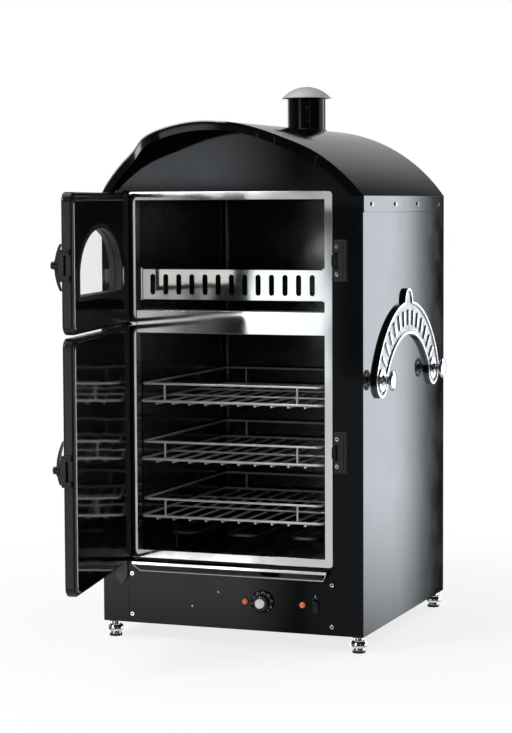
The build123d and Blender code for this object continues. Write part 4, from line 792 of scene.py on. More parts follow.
class Refined:
    """Merged copies of nodes, with eased edges and smooth curves."""

    @staticmethod
    def make(
        paint: Paint,
        node: str,
        finish: str,
        body: Body = Body.CABINET,
        ease: float = 0.4,
        sharp: float = 30.0,
        accent: tuple[str, Callable[[bpy.types.MeshPolygon], bool]] | None = None,
    ) -> bpy.types.Object:
        """Copies a node, merges it and eases its edges.

        Args:
            paint: The finishes.
            node: The node to copy.
            finish: The finish that the copy takes.
            body: The body that it rides on.
            ease: Width of the eased edges in millimetres.
            sharp: Angle in degrees past which an edge counts as one.
            accent: A second finish and the test that picks its faces.

        Returns:
            The copy, which stands for the node.
        """
        maker = Maker(f"{node}_eased", finish, body)
        maker.mesh.from_mesh(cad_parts[node].data)
        bmesh.ops.remove_doubles(maker.mesh, verts=maker.mesh.verts, dist=MERGE / 2)
        bmesh.ops.dissolve_limit(
            maker.mesh,
            angle_limit=math.radians(FLAT),
            verts=maker.mesh.verts,
            edges=maker.mesh.edges,
        )
        copy = maker.finish_off(paint, [node], sharp)
        if accent:
            copy.data.materials.append(paint.materials[accent[0]])
            for face in copy.data.polygons:
                face.material_index = int(accent[1](face))
        if ease > 0:
            easing = copy.modifiers.new("eased edges", "BEVEL")
            easing.width = ease * MM
            easing.segments = 2
            easing.limit_method = "ANGLE"
            easing.angle_limit = math.radians(sharp)
            weigh = copy.modifiers.new("flat faces", "WEIGHTED_NORMAL")
            weigh.keep_sharp = True
        return copy


@dataclass
class Roof:
    """The barrel roof, whose front edge is an ogee visor with a turned lip."""

    radius: float = 312.0
    sheet: float = 2.0
    lip: float = 16.0
    crest: float = 0.8
    columns: int = 132
    rows: int = 12
    bevelled: float = 253.5
    weld: float = 0.02
    tolerance: float = 0.01
    # the painted highlight along the crest: a light grey strip, with its radius, run, chords, sunk tail and
    # place
    bead: float = 1.3
    highlight_run: Point = (-0.93, 0.17)
    highlight_steps: int = 120
    highlight_tail: int = 24
    highlight_inset: float = 0.1
    highlight_overhang: float = 0.3
    highlight_sink: float = 2.0
    corners: Outline = field(
        default_factory=lambda: [
            (-255.0, -263.0), (-171.7, -295.1), (-121.6, -358.4), (0.0, -364.5),
            (121.6, -358.4), (171.7, -295.1), (255.0, -263.0),
        ]
    )
    bends: tuple[float, ...] = (0.0, 60.0, 66.0, 900.0, 66.0, 60.0, 0.0)

    def edge(self, x: float) -> float:
        """Finds the visor's front edge in plan.

        Args:
            x: Distance to the right of the middle.

        Returns:
            The edge's place from back to front.
        """
        line = rounded(self.corners, self.bends, 14, closed=False)
        for (x0, y0), (x1, y1) in zip(line, line[1:]):
            if x0 <= x <= x1:
                return y0 + (y1 - y0) * (x - x0) / max(x1 - x0, 1e-6)
        return line[0][1]

    @property
    def centre(self) -> float:
        """Height of the barrel's axis."""
        return EAVE - math.sqrt(self.radius**2 - OUTSIDE**2)

    @property
    def half(self) -> float:
        """Half the angle that the barrel spans, in radians."""
        return math.asin(OUTSIDE / self.radius)

    def build(self, paint: Paint) -> None:
        """Makes the skin and the light strip along its crest that paints the crest's highlight."""
        self.skin(paint)
        self.painted_crest_highlight(paint)

    def skin(self, paint: Paint) -> None:
        """Shapes the skin from a grid, turns its lip down and gives both their thickness.

        Args:
            paint: The finishes.
        """
        maker = Maker("roof_skin", "black_enamel")
        centre = self.centre
        made = bmesh.ops.create_grid(
            maker.mesh, x_segments=self.columns, y_segments=self.rows, size=1.0
        )
        for vert in made["verts"]:
            turn = vert.co.x * self.half
            x = self.radius * math.sin(turn)
            depth = ((vert.co.y + 1) / 2) ** 2
            y = self.edge(x) + (BACK - self.edge(x)) * depth
            vert.co = COUNTER.at(x, y, centre + self.radius * math.cos(turn))
        front = [e for e in maker.mesh.edges if e.is_boundary and self.on_edge(e)]
        for step in (self.lip / 2, self.lip):
            drawn = bmesh.ops.extrude_edge_only(maker.mesh, edges=front)["geom"]
            for vert in (item for item in drawn if isinstance(item, bmesh.types.BMVert)):
                turn = math.atan2(vert.co.x / MM, vert.co.z / MM - centre)
                reach = max(self.radius - step, (EAVE - centre) / math.cos(turn))
                x = reach * math.sin(turn)
                vert.co = COUNTER.at(x, self.edge(x), centre + reach * math.cos(turn))
            if step < self.lip:
                crest = front
            front = [
                e for e in drawn
                if isinstance(e, bmesh.types.BMEdge) and e.is_boundary and e.calc_length() > 0
                and all(v in drawn for v in e.verts)
            ]
        bmesh.ops.remove_doubles(maker.mesh, verts=maker.mesh.verts, dist=self.weld * MM)
        crest = [e for e in crest if e.is_valid and abs(e.verts[0].co.x) < self.bevelled * MM]
        bmesh.ops.bevel(
            maker.mesh,
            geom=crest,
            offset=self.crest * MM,
            affect="EDGES",
            segments=4,
            profile=0.5,
            material=-1,
        )
        bmesh.ops.recalc_face_normals(maker.mesh, faces=maker.mesh.faces)
        self.thicken(maker)
        maker.finish_off(paint, ["roof"], 36.0)

    def painted_crest_highlight(self, paint: Paint) -> None:
        """Draws a light strip along the front of the crest that paints its highlight line, and sinks its
        last stretch into the skin.

        Args:
            paint: The finishes.
        """
        start, end = self.highlight_run
        path = []
        for index in range(self.highlight_steps + 1):
            turn = self.half * (start + (end - start) * index / self.highlight_steps)
            along_tail = max(index + self.highlight_tail - self.highlight_steps, 0) / self.highlight_tail
            sunk = self.highlight_sink * along_tail
            reach = self.radius - self.highlight_inset - sunk
            x = reach * math.sin(turn)
            front = self.edge(x) - self.highlight_overhang + sunk
            path.append(COUNTER.at(x, front, self.centre + reach * math.cos(turn)))
        # a light grey strip that paints the crest's highlight
        bead = Maker("painted_crest_highlight", "cap_alloy")
        bead.wire(path, self.bead)
        bead.finish_off(paint)

    def thicken(self, maker: Maker) -> None:
        """Gives the skin its sheet thickness, inwards.

        Args:
            maker: The piece that holds the thin skin.
        """
        thin = bpy.data.meshes.new("thin_skin")
        maker.mesh.to_mesh(thin)
        carrier = stand("thin_skin", thin)
        wall = carrier.modifiers.new("sheet", "SOLIDIFY")
        wall.thickness = self.sheet * MM
        wall.offset = -1.0
        wall.use_even_offset = True
        bpy.context.view_layer.update()
        graph = bpy.context.evaluated_depsgraph_get()
        solid = bpy.data.meshes.new_from_object(carrier.evaluated_get(graph))
        maker.mesh.clear()
        maker.mesh.from_mesh(solid)
        bpy.data.objects.remove(carrier)
        bpy.data.meshes.remove(thin)
        bpy.data.meshes.remove(solid)

    def on_edge(self, edge: bmesh.types.BMEdge) -> bool:
        """Tells whether an edge of the skin lies along the visor's front."""
        return all(abs(v.co.y / MM - self.edge(v.co.x / MM)) < self.tolerance for v in edge.verts)


@dataclass
class Flue:
    """Dressing of the flue: the sealing bead at the roof, the seam's rivets and the cap's rim."""

    middle: Point = (0.0, 164.0)
    radius: float = 37.5
    bead: float = 1.7
    bead_gap: float = 0.8
    bead_lift: float = 0.6
    rim: float = 0.95
    rim_reach: float = 48.0
    rim_height: float = 1015.9
    seams: Point = (-68.0, 112.0)
    rivet_heights: Point = (969.0, 996.0)
    rivet: Point = (2.6, 1.3)

    def build(self, paint: Paint) -> None:
        """Makes the bead, the rivets and the rolled rim of the cap.

        Args:
            paint: The finishes.
        """
        roof = Roof()
        maker = Maker("flue_bead", "black_fitting")
        path = []
        for x, y in circle(self.middle, self.radius + self.bead_gap, 64):
            height = roof.centre + math.sqrt(roof.radius**2 - x * x) + self.bead_lift
            path.append(COUNTER.at(x, y, height))
        maker.wire(path, self.bead, closed=True, sides=10)
        maker.finish_off(paint)
        rim = Maker("cap_rim", "cap_alloy")
        places = [COUNTER.at(x, y, self.rim_height) for x, y in circle(self.middle, self.rim_reach, 72)]
        rim.wire(places, self.rim, closed=True, sides=10)
        rim.finish_off(paint)
        rivets = Maker("flue_rivets", "black_fitting")
        for seam in self.seams:
            turn = math.radians(seam)
            away = Vector((math.cos(turn), math.sin(turn), 0))
            across = Vector((-away.y, away.x, 0))
            for height in self.rivet_heights:
                spot = Vector((*self.middle, height)) + away * self.radius
                rivets.turned(Bench(spot, across, Vector((0, 0, 1)), away), (0, 0), dome(*self.rivet), 20)
        rivets.finish_off(paint)


def dome(radius: float, rise: float, sink: float = 0.3, steps: int = 6) -> Outline:
    """Profile of a low dome that is sunk a little into what carries it.

    Args:
        radius: The radius of its foot.
        rise: Its height.
        sink: How far it goes down into what carries it.
        steps: Chords from foot to top.

    Returns:
        Pairs of radius and height.
    """
    line = [(0.0, -sink), (radius, -sink)]
    for i in range(steps + 1):
        a = math.pi / 2 * i / steps
        line.append((radius * math.cos(a), rise * math.sin(a)))
    return line


@dataclass
class Fasteners:
    """Pan-head screws with a cross recess, and the small rivets of the cabinet."""

    head: float = 4.0
    rise: float = 2.2
    recess: float = 1.7
    slot: float = 0.38
    shoulder: float = 1.5
    eave_places: tuple[float, ...] = (-213.75, -71.25, 71.25, 213.75)
    eave_drop: float = 15.0
    panel_places: tuple[Point, ...] = ((-196, 47), (-196, 123), (196, 47), (196, 123))
    rivet_places: tuple[Point, ...] = ((-76.0, 69.5), (-24.0, 98.3))
    rivet: Point = (2.4, 1.2)
    keeper_x: float = 207.0
    keeper_pitch: float = 24.5
    keeper_lift: float = 3.0
    # first turn of the crosses in each row, and the turn from one to the next, in degrees
    eave_turns: Point = (8.0, 17.0)
    panel_turns: Point = (0.0, 25.0)
    keeper_turns: Point = (12.0, 31.0)

    def screw(self, maker: Maker, bench: Bench, u: float, v: float, turn: float) -> None:
        """Makes one head, whose cross is cut right through to the sheet behind.

        Args:
            maker: The piece that takes it.
            bench: The face under the head.
            u: Distance to the right.
            v: Height.
            turn: How far the cross is turned, in degrees.
        """
        cross = []
        for quarter in range(4):
            for x, y in ((self.recess, -self.slot), (self.recess, self.slot), (self.slot, self.slot)):
                a = math.radians(90 * quarter + turn)
                cross.append((u + x * math.cos(a) - y * math.sin(a), v + x * math.sin(a) + y * math.cos(a)))
        maker.plate(bench, circle((u, v), self.head, 28), 0.0, self.rise, self.shoulder, [cross], 4)

    def build(self, paint: Paint) -> None:
        """Makes the screws of the eaves, the control panel and the keepers.

        Args:
            paint: The finishes.
        """
        eaves = Maker("eave_screw_heads", "chrome")
        for side, bench in ((1, RIGHT_FACE), (-1, LEFT_FACE)):
            for index, y in enumerate(self.eave_places):
                turn = self.eave_turns[0] + self.eave_turns[1] * index
                self.screw(eaves, bench.raised(EaveStrips.sheet), side * y, EAVE - self.eave_drop, turn)
        eaves.finish_off(paint, ["eave_screws"])
        panel = Maker("panel_screw_heads", "chrome")
        for index, (x, z) in enumerate(self.panel_places):
            self.screw(panel, FRONT_FACE, x, z, self.panel_turns[0] + self.panel_turns[1] * index)
        for place in self.rivet_places:
            panel.turned(FRONT_FACE, place, dome(*self.rivet), 20)
        panel.finish_off(paint, ["fascia_screws"])
        keepers = Maker("keeper_screw_heads", "chrome")
        rises = sorted(KEEPER_RISES.values())
        heights = [rise + end * self.keeper_pitch for rise in rises for end in (-1, 1)]
        for index, z in enumerate(heights):
            turn = self.keeper_turns[0] + self.keeper_turns[1] * index
            self.screw(keepers, FRONT_FACE.raised(self.keeper_lift), self.keeper_x, BASE + z, turn)
        keepers.finish_off(paint, ["keeper_screws"])


@dataclass
class Keepers:
    """The keepers of the two doors: a stepped plate, a ridge and a bowed staple."""

    left: float = 200.2
    right: float = 226.8
    tall: float = 74.6
    plate_top: float = 1.7
    step_top: float = 3.0
    step_width: float = 17.8
    step_inset: Point = (0.3, 4.0)
    overlap: float = 0.1
    ridge_top: float = 3.4
    ridge_width: float = 4.0
    ridge_margin: float = 1.5
    boss: tuple[float, float, float] = (204.0, 212.5, 3.4)
    boss_top: float = 4.2
    staple: float = 202.4
    splay: float = 5.2
    bar: float = 2.4
    root: float = 0.8
    reach: float = 12.5
    half: float = 12.6

    def build(self, paint: Paint) -> None:
        """Makes both keepers on the right post.

        Args:
            paint: The finishes.
        """
        for name, rise in KEEPER_RISES.items():
            maker = Maker(f"{name}_keeper_plate", "black_fitting")
            self.mount(maker, BASE + rise)
            maker.wire(self.bow(BASE + rise), self.bar, sides=14)
            maker.finish_off(paint, [f"{name}_keeper"], 34.0)

    def mount(self, maker: Maker, z: float) -> None:
        """Stacks the plate, its step, its ridge and the bosses of the staple.

        Args:
            maker: The piece that takes them.
            z: Height of the keeper's middle.
        """
        low, high = z - self.tall / 2, z + self.tall / 2
        plate = box_outline(self.left, self.right, low, high, 2.0, 4)
        maker.plate(FRONT_FACE, plate, 0.0, self.plate_top, 0.4)
        start = self.left + self.step_inset[0]
        margin = self.step_inset[1]
        step = box_outline(start, start + self.step_width, low + margin, high - margin, 2.5, 4)
        maker.plate(FRONT_FACE, step, self.plate_top - self.overlap, self.step_top, 0.6)
        margin = self.ridge_margin
        end = self.right - margin
        ridge = box_outline(end - self.ridge_width, end, low + margin, high - margin, 1.5, 3)
        maker.plate(FRONT_FACE, ridge, self.plate_top - self.overlap, self.ridge_top, 0.7)
        left, right, tall = self.boss
        for side in (-1, 1):
            middle = z + side * self.half
            boss = box_outline(left, right, middle - tall, middle + tall, 2.0, 3)
            maker.plate(FRONT_FACE, boss, self.step_top - self.overlap, self.boss_top, 0.6)

    def bow(self, z: float) -> list[Vector]:
        """Bends the staple, whose feet splay away from the opening.

        Args:
            z: Height of the keeper's middle.

        Returns:
            The staple's path.
        """
        root, reach, half = self.root, self.reach, self.half
        bowed = [(root, -half), (reach, -half), (reach, half), (root, half)]
        path = []
        for out, along in rounded(bowed, [0.0, 6.0, 6.0, 0.0], 8, closed=False):
            share = min(max((out - root) / (reach - root), 0.0), 1.0)
            path.append(FRONT_FACE.at(self.staple + self.splay * (1 - share), z + along, out))
        return path


@dataclass
class EaveStrips:
    """The strips that fasten the roof to the side panels."""

    front: float = -259.2
    back: float = 249.0
    low: float = 791.2
    high: float = 820.8
    bend: float = 7.0
    sheet: float = 1.5

    def build(self, paint: Paint) -> None:
        """Cuts one strip for each side, with rounded lower corners.

        Args:
            paint: The finishes.
        """
        for side, sign, bench in (("right", 1, RIGHT_FACE), ("left", -1, LEFT_FACE)):
            ends = sorted((sign * self.front, sign * self.back))
            corners = [(ends[0], self.low), (ends[1], self.low), (ends[1], self.high), (ends[0], self.high)]
            maker = Maker(f"eave_band_{side}", "black_enamel")
            outline = rounded(corners, [self.bend, self.bend, 0.0, 0.0], 7)
            maker.plate(bench, outline, 0.0, self.sheet, 0.5)
            maker.finish_off(paint, [f"eave_strip_{side}"])


@dataclass
class SillBead:
    """The rolled edge along the drip sill's lower edge, in a light finish that paints its highlight line.
    """

    half: float = 179.5
    reach: float = 1.6
    height: float = BASE + 98.4
    radius: float = 0.9
    splay: tuple[float, float, float] = (9.0, 12.6, 13.0)

    def build(self, paint: Paint) -> None:
        """Draws the rolled edge from end to end, turned up along both splayed ends.

        Args:
            paint: The finishes.
        """
        wide, tall, deep = self.splay
        corners = [
            (-self.half - wide, tall, deep), (-self.half, 0.0, 0.0),
            (self.half, 0.0, 0.0), (self.half + wide, tall, deep),
        ]
        path = [FRONT_FACE.at(x, self.height + up, self.reach + out) for x, up, out in corners]
        # the light finish paints the highlight along the sill's edge
        maker = Maker("sill_bead", "painted_highlight_steel")
        maker.wire(path, self.radius, sides=10)
        maker.finish_off(paint)


@dataclass
class Racks:
    """The three wire racks."""

    rises: dict[str, tuple[float, Body]] = field(
        default_factory=lambda: {
            "rack_lower": (201.0, Body.LOWER_RACK),
            "rack_middle": (307.0, Body.MIDDLE_RACK),
            "rack_upper": (414.6, Body.UPPER_RACK),
        }
    )
    half: float = 177.5
    gallery_half: float = 173.5
    front: float = -257.0
    back: float = 161.0
    rod: float = 2.5
    gallery_rod: float = 2.2
    wire: float = 2.0
    bend: float = 9.0
    gallery: float = 32.3
    post: float = 129.5
    end: float = 144.9
    wires: int = 10
    tails: Point = (1.9, 2.5)
    seat: float = 0.3

    def loop(self, maker: Maker, half: float, z: float, radius: float) -> None:
        """Bends one closed rod round the rack."""
        outline = box_outline(-half, half, self.front, self.back, self.bend, 7)
        maker.wire([COUNTER.at(x, y, z) for x, y in outline], radius, closed=True)

    def build(self, paint: Paint) -> None:
        """Makes each rack from its frame, gallery, posts, wires and cross rods.

        Args:
            paint: The finishes.
        """
        for name, (rise, body) in self.rises.items():
            z = BASE + rise
            maker = Maker(f"{name}_wires", "bright_wire", body)
            self.loop(maker, self.half, z, self.rod)
            self.loop(maker, self.gallery_half, z + self.gallery, self.gallery_rod)
            for x in (-self.post, self.post):
                for y in (self.front, self.back):
                    ends = [COUNTER.at(x, y, z), COUNTER.at(x, y, z + self.gallery)]
                    maker.wire(ends, self.wire)
            low = z - self.rod - self.wire + self.seat
            near, far = self.tails
            run = [self.front - far, self.front - near, self.back + near, self.back + far]
            for index in range(self.wires):
                x = self.end * (2 * index / (self.wires - 1) - 1)
                maker.wire([COUNTER.at(x, y, low) for y in run], self.wire)
            for third in (1, 2):
                y = self.front + (self.back - self.front) * third / 3
                maker.wire([COUNTER.at(-self.half, y, z), COUNTER.at(self.half, y, z)], self.wire)
            maker.finish_off(paint, [name], 40.0)


@dataclass
class Element:
    """The heating element, one rod bent back and forth."""

    pitch: float = 60.0
    front: float = -197.0
    back: float = 123.0
    inner: float = 73.0
    terminal: float = 25.0
    tail: float = 209.0
    height: float = 194.0
    bend: float = 18.0
    radius: float = 4.0

    def build(self, paint: Paint) -> None:
        """Bends the rod.

        Args:
            paint: The finishes.
        """
        half = [(self.pitch / 2, self.front), (self.pitch / 2, self.inner)]
        half += [(1.5 * self.pitch, self.inner), (1.5 * self.pitch, self.front)]
        half += [(2.5 * self.pitch, self.front), (2.5 * self.pitch, self.back)]
        half += [(self.terminal, self.back), (self.terminal, self.tail)]
        corners = [(-x, y) for x, y in reversed(half)] + half
        line = rounded(corners, [self.bend] * len(corners), 8, closed=False)
        maker = Maker("element_rod", "element_sheath")
        maker.wire([COUNTER.at(x, y, self.height) for x, y in line], self.radius, sides=16)
        maker.finish_off(paint, ["heating_element"], 40.0)


@dataclass
class Feet:
    """Turned chrome feet."""

    x: float = 240.0
    y: float = 240.0
    ball: tuple[float, float, float] = (16.0, 10.5, 15.5)

    def build(self, paint: Paint) -> None:
        """Turns the four feet: a sole, a flattened ball, a neck, a flange and a stem.

        Args:
            paint: The finishes.
        """
        profile = [(0.0, 4.0), (10.2, 4.0), (11.4, 4.6), (11.6, 5.6), (10.9, 6.5), (9.8, 7.0)]
        profile.append((10.6, 7.5))
        wide, tall, middle = self.ball
        sweep = (math.radians(-46 + 8 * i) for i in range(14))
        profile += [(wide * math.cos(a), middle + tall * math.sin(a)) for a in sweep]
        profile += [(8.4, 25.2), (8.0, 26.2), (8.6, 27.4), (12.9, 28.0), (13.8, 28.4), (14.0, 29.0)]
        profile += [(14.0, 30.6), (13.6, 31.0), (4.0, 31.0), (4.0, 44.6), (3.6, 45.0), (0.0, 45.0)]
        maker = Maker("turned_feet", "chrome")
        for x in (-self.x, self.x):
            for y in (-self.y, self.y):
                maker.turned(COUNTER, (x, y), profile, 48)
        maker.finish_off(paint, ["feet"], 38.0)


@dataclass
class ArchKnobs:
    """The mushroom knobs that hold the cast arches."""

    half: float = 164.0
    height: float = 486.5
    stand: float = 7.0
    crown: tuple[float, float, float] = (19.0, 6.0, 18.0)

    def build(self, paint: Paint) -> None:
        """Turns the four knobs: a stud, a collar, a waist and a mushroom cap.

        Args:
            paint: The finishes.
        """
        profile = [(0.0, -16.0), (4.0, -16.0), (4.0, 0.0), (10.1, 0.0), (10.5, 0.5), (9.4, 1.6)]
        profile += [(8.1, 2.8), (7.5, 4.4), (7.5, 11.6), (8.2, 13.4), (10.2, 14.8), (16.4, 15.3)]
        profile += [(18.2, 16.1), (18.9, 17.2), (18.8, 18.5)]
        wide, tall, middle = self.crown
        sweep = (0.2 + 0.1713 * i for i in range(8))
        profile += [(wide * math.cos(a), middle + tall * math.sin(a)) for a in sweep]
        profile += [(0.0, 24.0)]
        maker = Maker("arch_knobs", "chrome")
        for bench in (RIGHT_FACE, LEFT_FACE):
            for y in (-self.half, self.half):
                maker.turned(bench.raised(self.stand), (y, self.height), profile, 56)
        maker.finish_off(paint, ["casting_knobs"], 38.0)


@dataclass
class Controls:
    """The dial with its printed marks, the switch's frame and the two neon lamps."""

    dial: Point = (62.5, 84.0)
    grip: float = 15.3
    flutes: int = 20
    flute: float = 0.45
    bore: float = 8.0
    ticks: int = 17
    tick_start: float = 230.0
    tick_pitch: float = 17.5
    tick_foot: float = 16.4
    tick_half: float = 0.36
    tick_lengths: Point = (2.3, 1.3)
    numbers: int = 8
    number_ring: float = 19.2
    number_size: float = 3.8
    number_lift: float = 3.9
    switch: Point = (164.1, 84.0)
    frame_halves: tuple[Point, Point] = ((7.4, 13.4), (6.2, 11.2))
    lens: float = 5.5
    lamps: dict[str, float] = field(default_factory=lambda: {"heat_lamp": 28.7, "power_lamp": 139.9})

    def turn_dial(self, paint: Paint) -> None:
        """Makes the skirt, the fluted grip and the spun cap.

        Args:
            paint: The finishes.
        """
        maker = Maker("dial_grip", "black_plastic", Body.DIAL)
        profile = [(3.05, 0.4), (21.6, 0.4), (22.0, 0.8), (22.0, 2.6), (21.5, 3.4), (20.7, 3.9)]
        profile += [(9.0, 3.9), (9.0, 12.4), (3.05, 12.4), (3.05, 0.4)]
        maker.turned(FRONT_FACE, self.dial, profile, 72)
        steps = self.flutes * 6
        outline = []
        for index in range(steps):
            a = math.tau * index / steps
            r = self.grip - self.flute * (0.5 + 0.5 * math.cos(a * self.flutes))
            outline.append((self.dial[0] + r * math.cos(a), self.dial[1] + r * math.sin(a)))
        maker.plate(FRONT_FACE, outline, 3.2, 14.4, 1.5, [circle(self.dial, self.bore, 40)], 4)
        maker.finish_off(paint, ["dial"], 34.0)
        cap = Maker("dial_cap_spun", "spun_cap", Body.DIAL)
        profile = [(0.0, 13.0), (7.9, 13.0), (8.8, 14.0), (8.8, 17.2), (8.4, 18.0), (7.7, 18.4)]
        profile += [(6.8, 18.3), (6.3, 17.8), (3.2, 17.55), (0.0, 17.5)]
        cap.turned(FRONT_FACE, self.dial, profile, 64)
        cap.finish_off(paint, ["dial_cap"], 34.0)

    def print_dial(self, paint: Paint) -> None:
        """Raises the white marks and numbers of the dial a hair above its skirt.

        Args:
            paint: The finishes.
        """
        maker = Maker("dial_marks", "white_print", Body.DIAL)
        for index in range(self.ticks):
            a = math.radians(self.tick_start - self.tick_pitch * index)
            along = Vector((math.cos(a), math.sin(a)))
            side = Vector((-along.y, along.x)) * self.tick_half
            foot = Vector(self.dial) + along * self.tick_foot
            tip = foot + along * self.tick_lengths[index % 2]
            corners = [tuple(spot) for spot in (foot - side, tip - side, tip + side, foot + side)]
            maker.plate(FRONT_FACE, corners, 3.7, 4.0, 0.0)
        x, y = self.dial
        pointer = box_outline(x - 0.5, x + 0.5, y + 9.8, y + 13.4, 0.4, 3)
        maker.plate(FRONT_FACE, pointer, 14.2, 14.5, 0.0)
        maker.finish_off(paint)
        for index in range(self.numbers):
            turn = self.tick_start - self.tick_pitch * (2 * index + 0.5)
            self.print_number(paint, index + 1, math.radians(turn))

    def print_number(self, paint: Paint, value: int, turn: float) -> None:
        """Stands one raised number on the dial's skirt.

        Args:
            paint: The finishes.
            value: The number.
            turn: Its place round the dial, in radians.
        """
        curve = bpy.data.curves.new(f"figure_{value}", "FONT")
        curve.body = str(value)
        curve.size = self.number_size
        curve.extrude = 0.1
        curve.align_x = "CENTER"
        curve.align_y = "CENTER"
        carrier = bpy.data.objects.new(f"figure_{value}", curve)
        figure = bpy.data.meshes.new_from_object(carrier)
        bpy.data.objects.remove(carrier)
        number = Maker(f"dial_number_{value}", "white_print", Body.DIAL)
        number.mesh.from_mesh(figure)
        bpy.data.meshes.remove(figure)
        away = Vector((math.cos(turn), math.sin(turn)))
        across = Vector((away.y, -away.x))
        centre = Vector(self.dial) + away * self.number_ring
        for vert in number.mesh.verts:
            spot = centre + across * vert.co.x + away * vert.co.y
            vert.co = FRONT_FACE.at(spot.x, spot.y, self.number_lift + vert.co.z)
        number.finish_off(paint)

    def build(self, paint: Paint) -> None:
        """Makes the dial, its print, the switch's frame and the lamps.

        Args:
            paint: The finishes.
        """
        self.turn_dial(paint)
        self.print_dial(paint)
        self.frame_switch(paint)
        for name, x in self.lamps.items():
            self.light(paint, name, x)

    def frame_switch(self, paint: Paint) -> None:
        """Frames the switch and prints the dot and the bar above it.

        Args:
            paint: The finishes.
        """
        x, z = self.switch
        rim = Maker("switch_frame", "black_fitting")
        outer, inner = (
            box_outline(x - wide, x + wide, z - tall, z + tall, bend, 5)
            for (wide, tall), bend in zip(self.frame_halves, (2.2, 1.2))
        )
        rim.plate(FRONT_FACE, outer, 2.0, 2.8, 0.5, [inner])
        rim.finish_off(paint)
        mark = Maker("switch_marks", "white_print")
        dot = circle((x, z + 17.6), 0.9, 16)
        bar = box_outline(x - 2.2, x + 2.2, z + 15.0, z + 15.5, 0.2, 2)
        for shape in (dot, bar):
            mark.plate(FRONT_FACE, shape, 0.0, 0.3, 0.0)
        mark.finish_off(paint)

    def light(self, paint: Paint, name: str, x: float) -> None:
        """Turns one lamp's lens and its bezel.

        Args:
            paint: The finishes.
            name: The lamp's name.
            x: Its distance to the right.
        """
        place = (x, self.dial[1])
        lens = Maker(f"{name}_lens", "amber_lens")
        r = self.lens
        profile = [(0.0, -18.0), (r - 1.0, -18.0), (r - 1.0, 0.2), (r, 0.2), (r, 3.0)]
        profile += [(r * math.cos(a), 3.0 + 3.0 * math.sin(a)) for a in (0.19 * i for i in range(1, 8))]
        lens.turned(FRONT_FACE, place, [*profile, (0.0, 6.0)])
        lens.finish_off(paint, [name], 50.0)
        bezel = Maker(f"{name}_bezel", "black_plastic")
        ring = [(5.6, 0.0), (6.3, 0.0), (6.3, 0.9), (6.0, 1.4), (5.6, 1.5), (5.6, 0.0)]
        bezel.turned(FRONT_FACE, place, ring)
        bezel.finish_off(paint)


def sunk(face: bpy.types.MeshPolygon) -> bool:
    """Tells whether a face is part of a cast arch's sunk field."""
    proud = abs(face.center.x) / MM - OUTSIDE
    return abs(face.normal.x) > 0.9 and abs(proud - CAST_FIELD) < 0.3


def sloping(face: bpy.types.MeshPolygon) -> bool:
    """Tells whether a face is part of the drip sill's sloping underside, which is painted in shade with the
    darker steel copy.
    """
    return face.normal.z < -0.3


def refine_nodes(paint: Paint) -> None:
    """Gives the sheet-metal, cast and moulded nodes their eased edges.

    Args:
        paint: The finishes.
    """
    for side, door, lever in (
        ("upper", Body.UPPER_DOOR, Body.UPPER_LEVER), ("lower", Body.LOWER_DOOR, Body.LOWER_LEVER)
    ):
        Refined.make(paint, f"{side}_door_shell", "door_enamel", door, 0.3)
        Refined.make(paint, f"{side}_door_panel", "mirror_steel", door, 0.5)
        Refined.make(paint, f"{side}_latch_body", "black_fitting", door, 0.6)
        Refined.make(paint, f"{side}_latch_lever", "black_fitting", lever, 0.6)
    for side in ("left", "right"):
        field_accent = ("cast_field", sunk)
        Refined.make(paint, f"side_arch_{side}", "polished_casting", ease=0.9, accent=field_accent)
        Refined.make(paint, f"side_panel_{side}", "black_enamel", ease=0.5)
        # the runners inside the oven take the painted shade of the darker steel copy
        Refined.make(paint, f"rack_runner_{side}", "shaded_liner_steel", ease=0.3)
    for name in ("bottom", "middle", "top"):
        Refined.make(paint, f"hinge_{name}", "black_fitting", ease=0.6)
    for name, finish, ease in (
        ("front_frame", "black_enamel", 0.4), ("arch_front", "black_enamel", 0.0),
        ("arch_back", "black_enamel", 0.0), ("back_panel", "black_enamel", 0.4),
        ("fascia", "black_enamel", 0.3), ("door_trim", "mirror_steel", 0.4),
        # the liners take the painted shade of the darker steel copy
        ("display_liner", "shaded_liner_steel", 0.0), ("oven_liner", "shaded_liner_steel", 0.0),
        ("divider", "mirror_steel", 0.3), ("guard_rail", "mirror_steel", 0.4),
        ("guard_channels", "mirror_steel", 0.25),
        ("flue_tube", "black_enamel", 0.3), ("flue_cap", "cap_alloy", 0.3),
        ("terminal_box", "black_enamel", 0.5), ("switch_body", "black_plastic", 0.4),
    ):
        Refined.make(paint, name, finish, ease=ease)
    # painted shade: the sill's sloping underside takes the darker copy of the steel
    Refined.make(paint, "drip_sill", "mirror_steel", ease=0.35, accent=("shaded_liner_steel", sloping))
    Refined.make(paint, "switch_rocker", "black_plastic", Body.ROCKER, 0.4)
    Refined.make(paint, "window_gasket", "rubber", Body.UPPER_DOOR, 0.6)


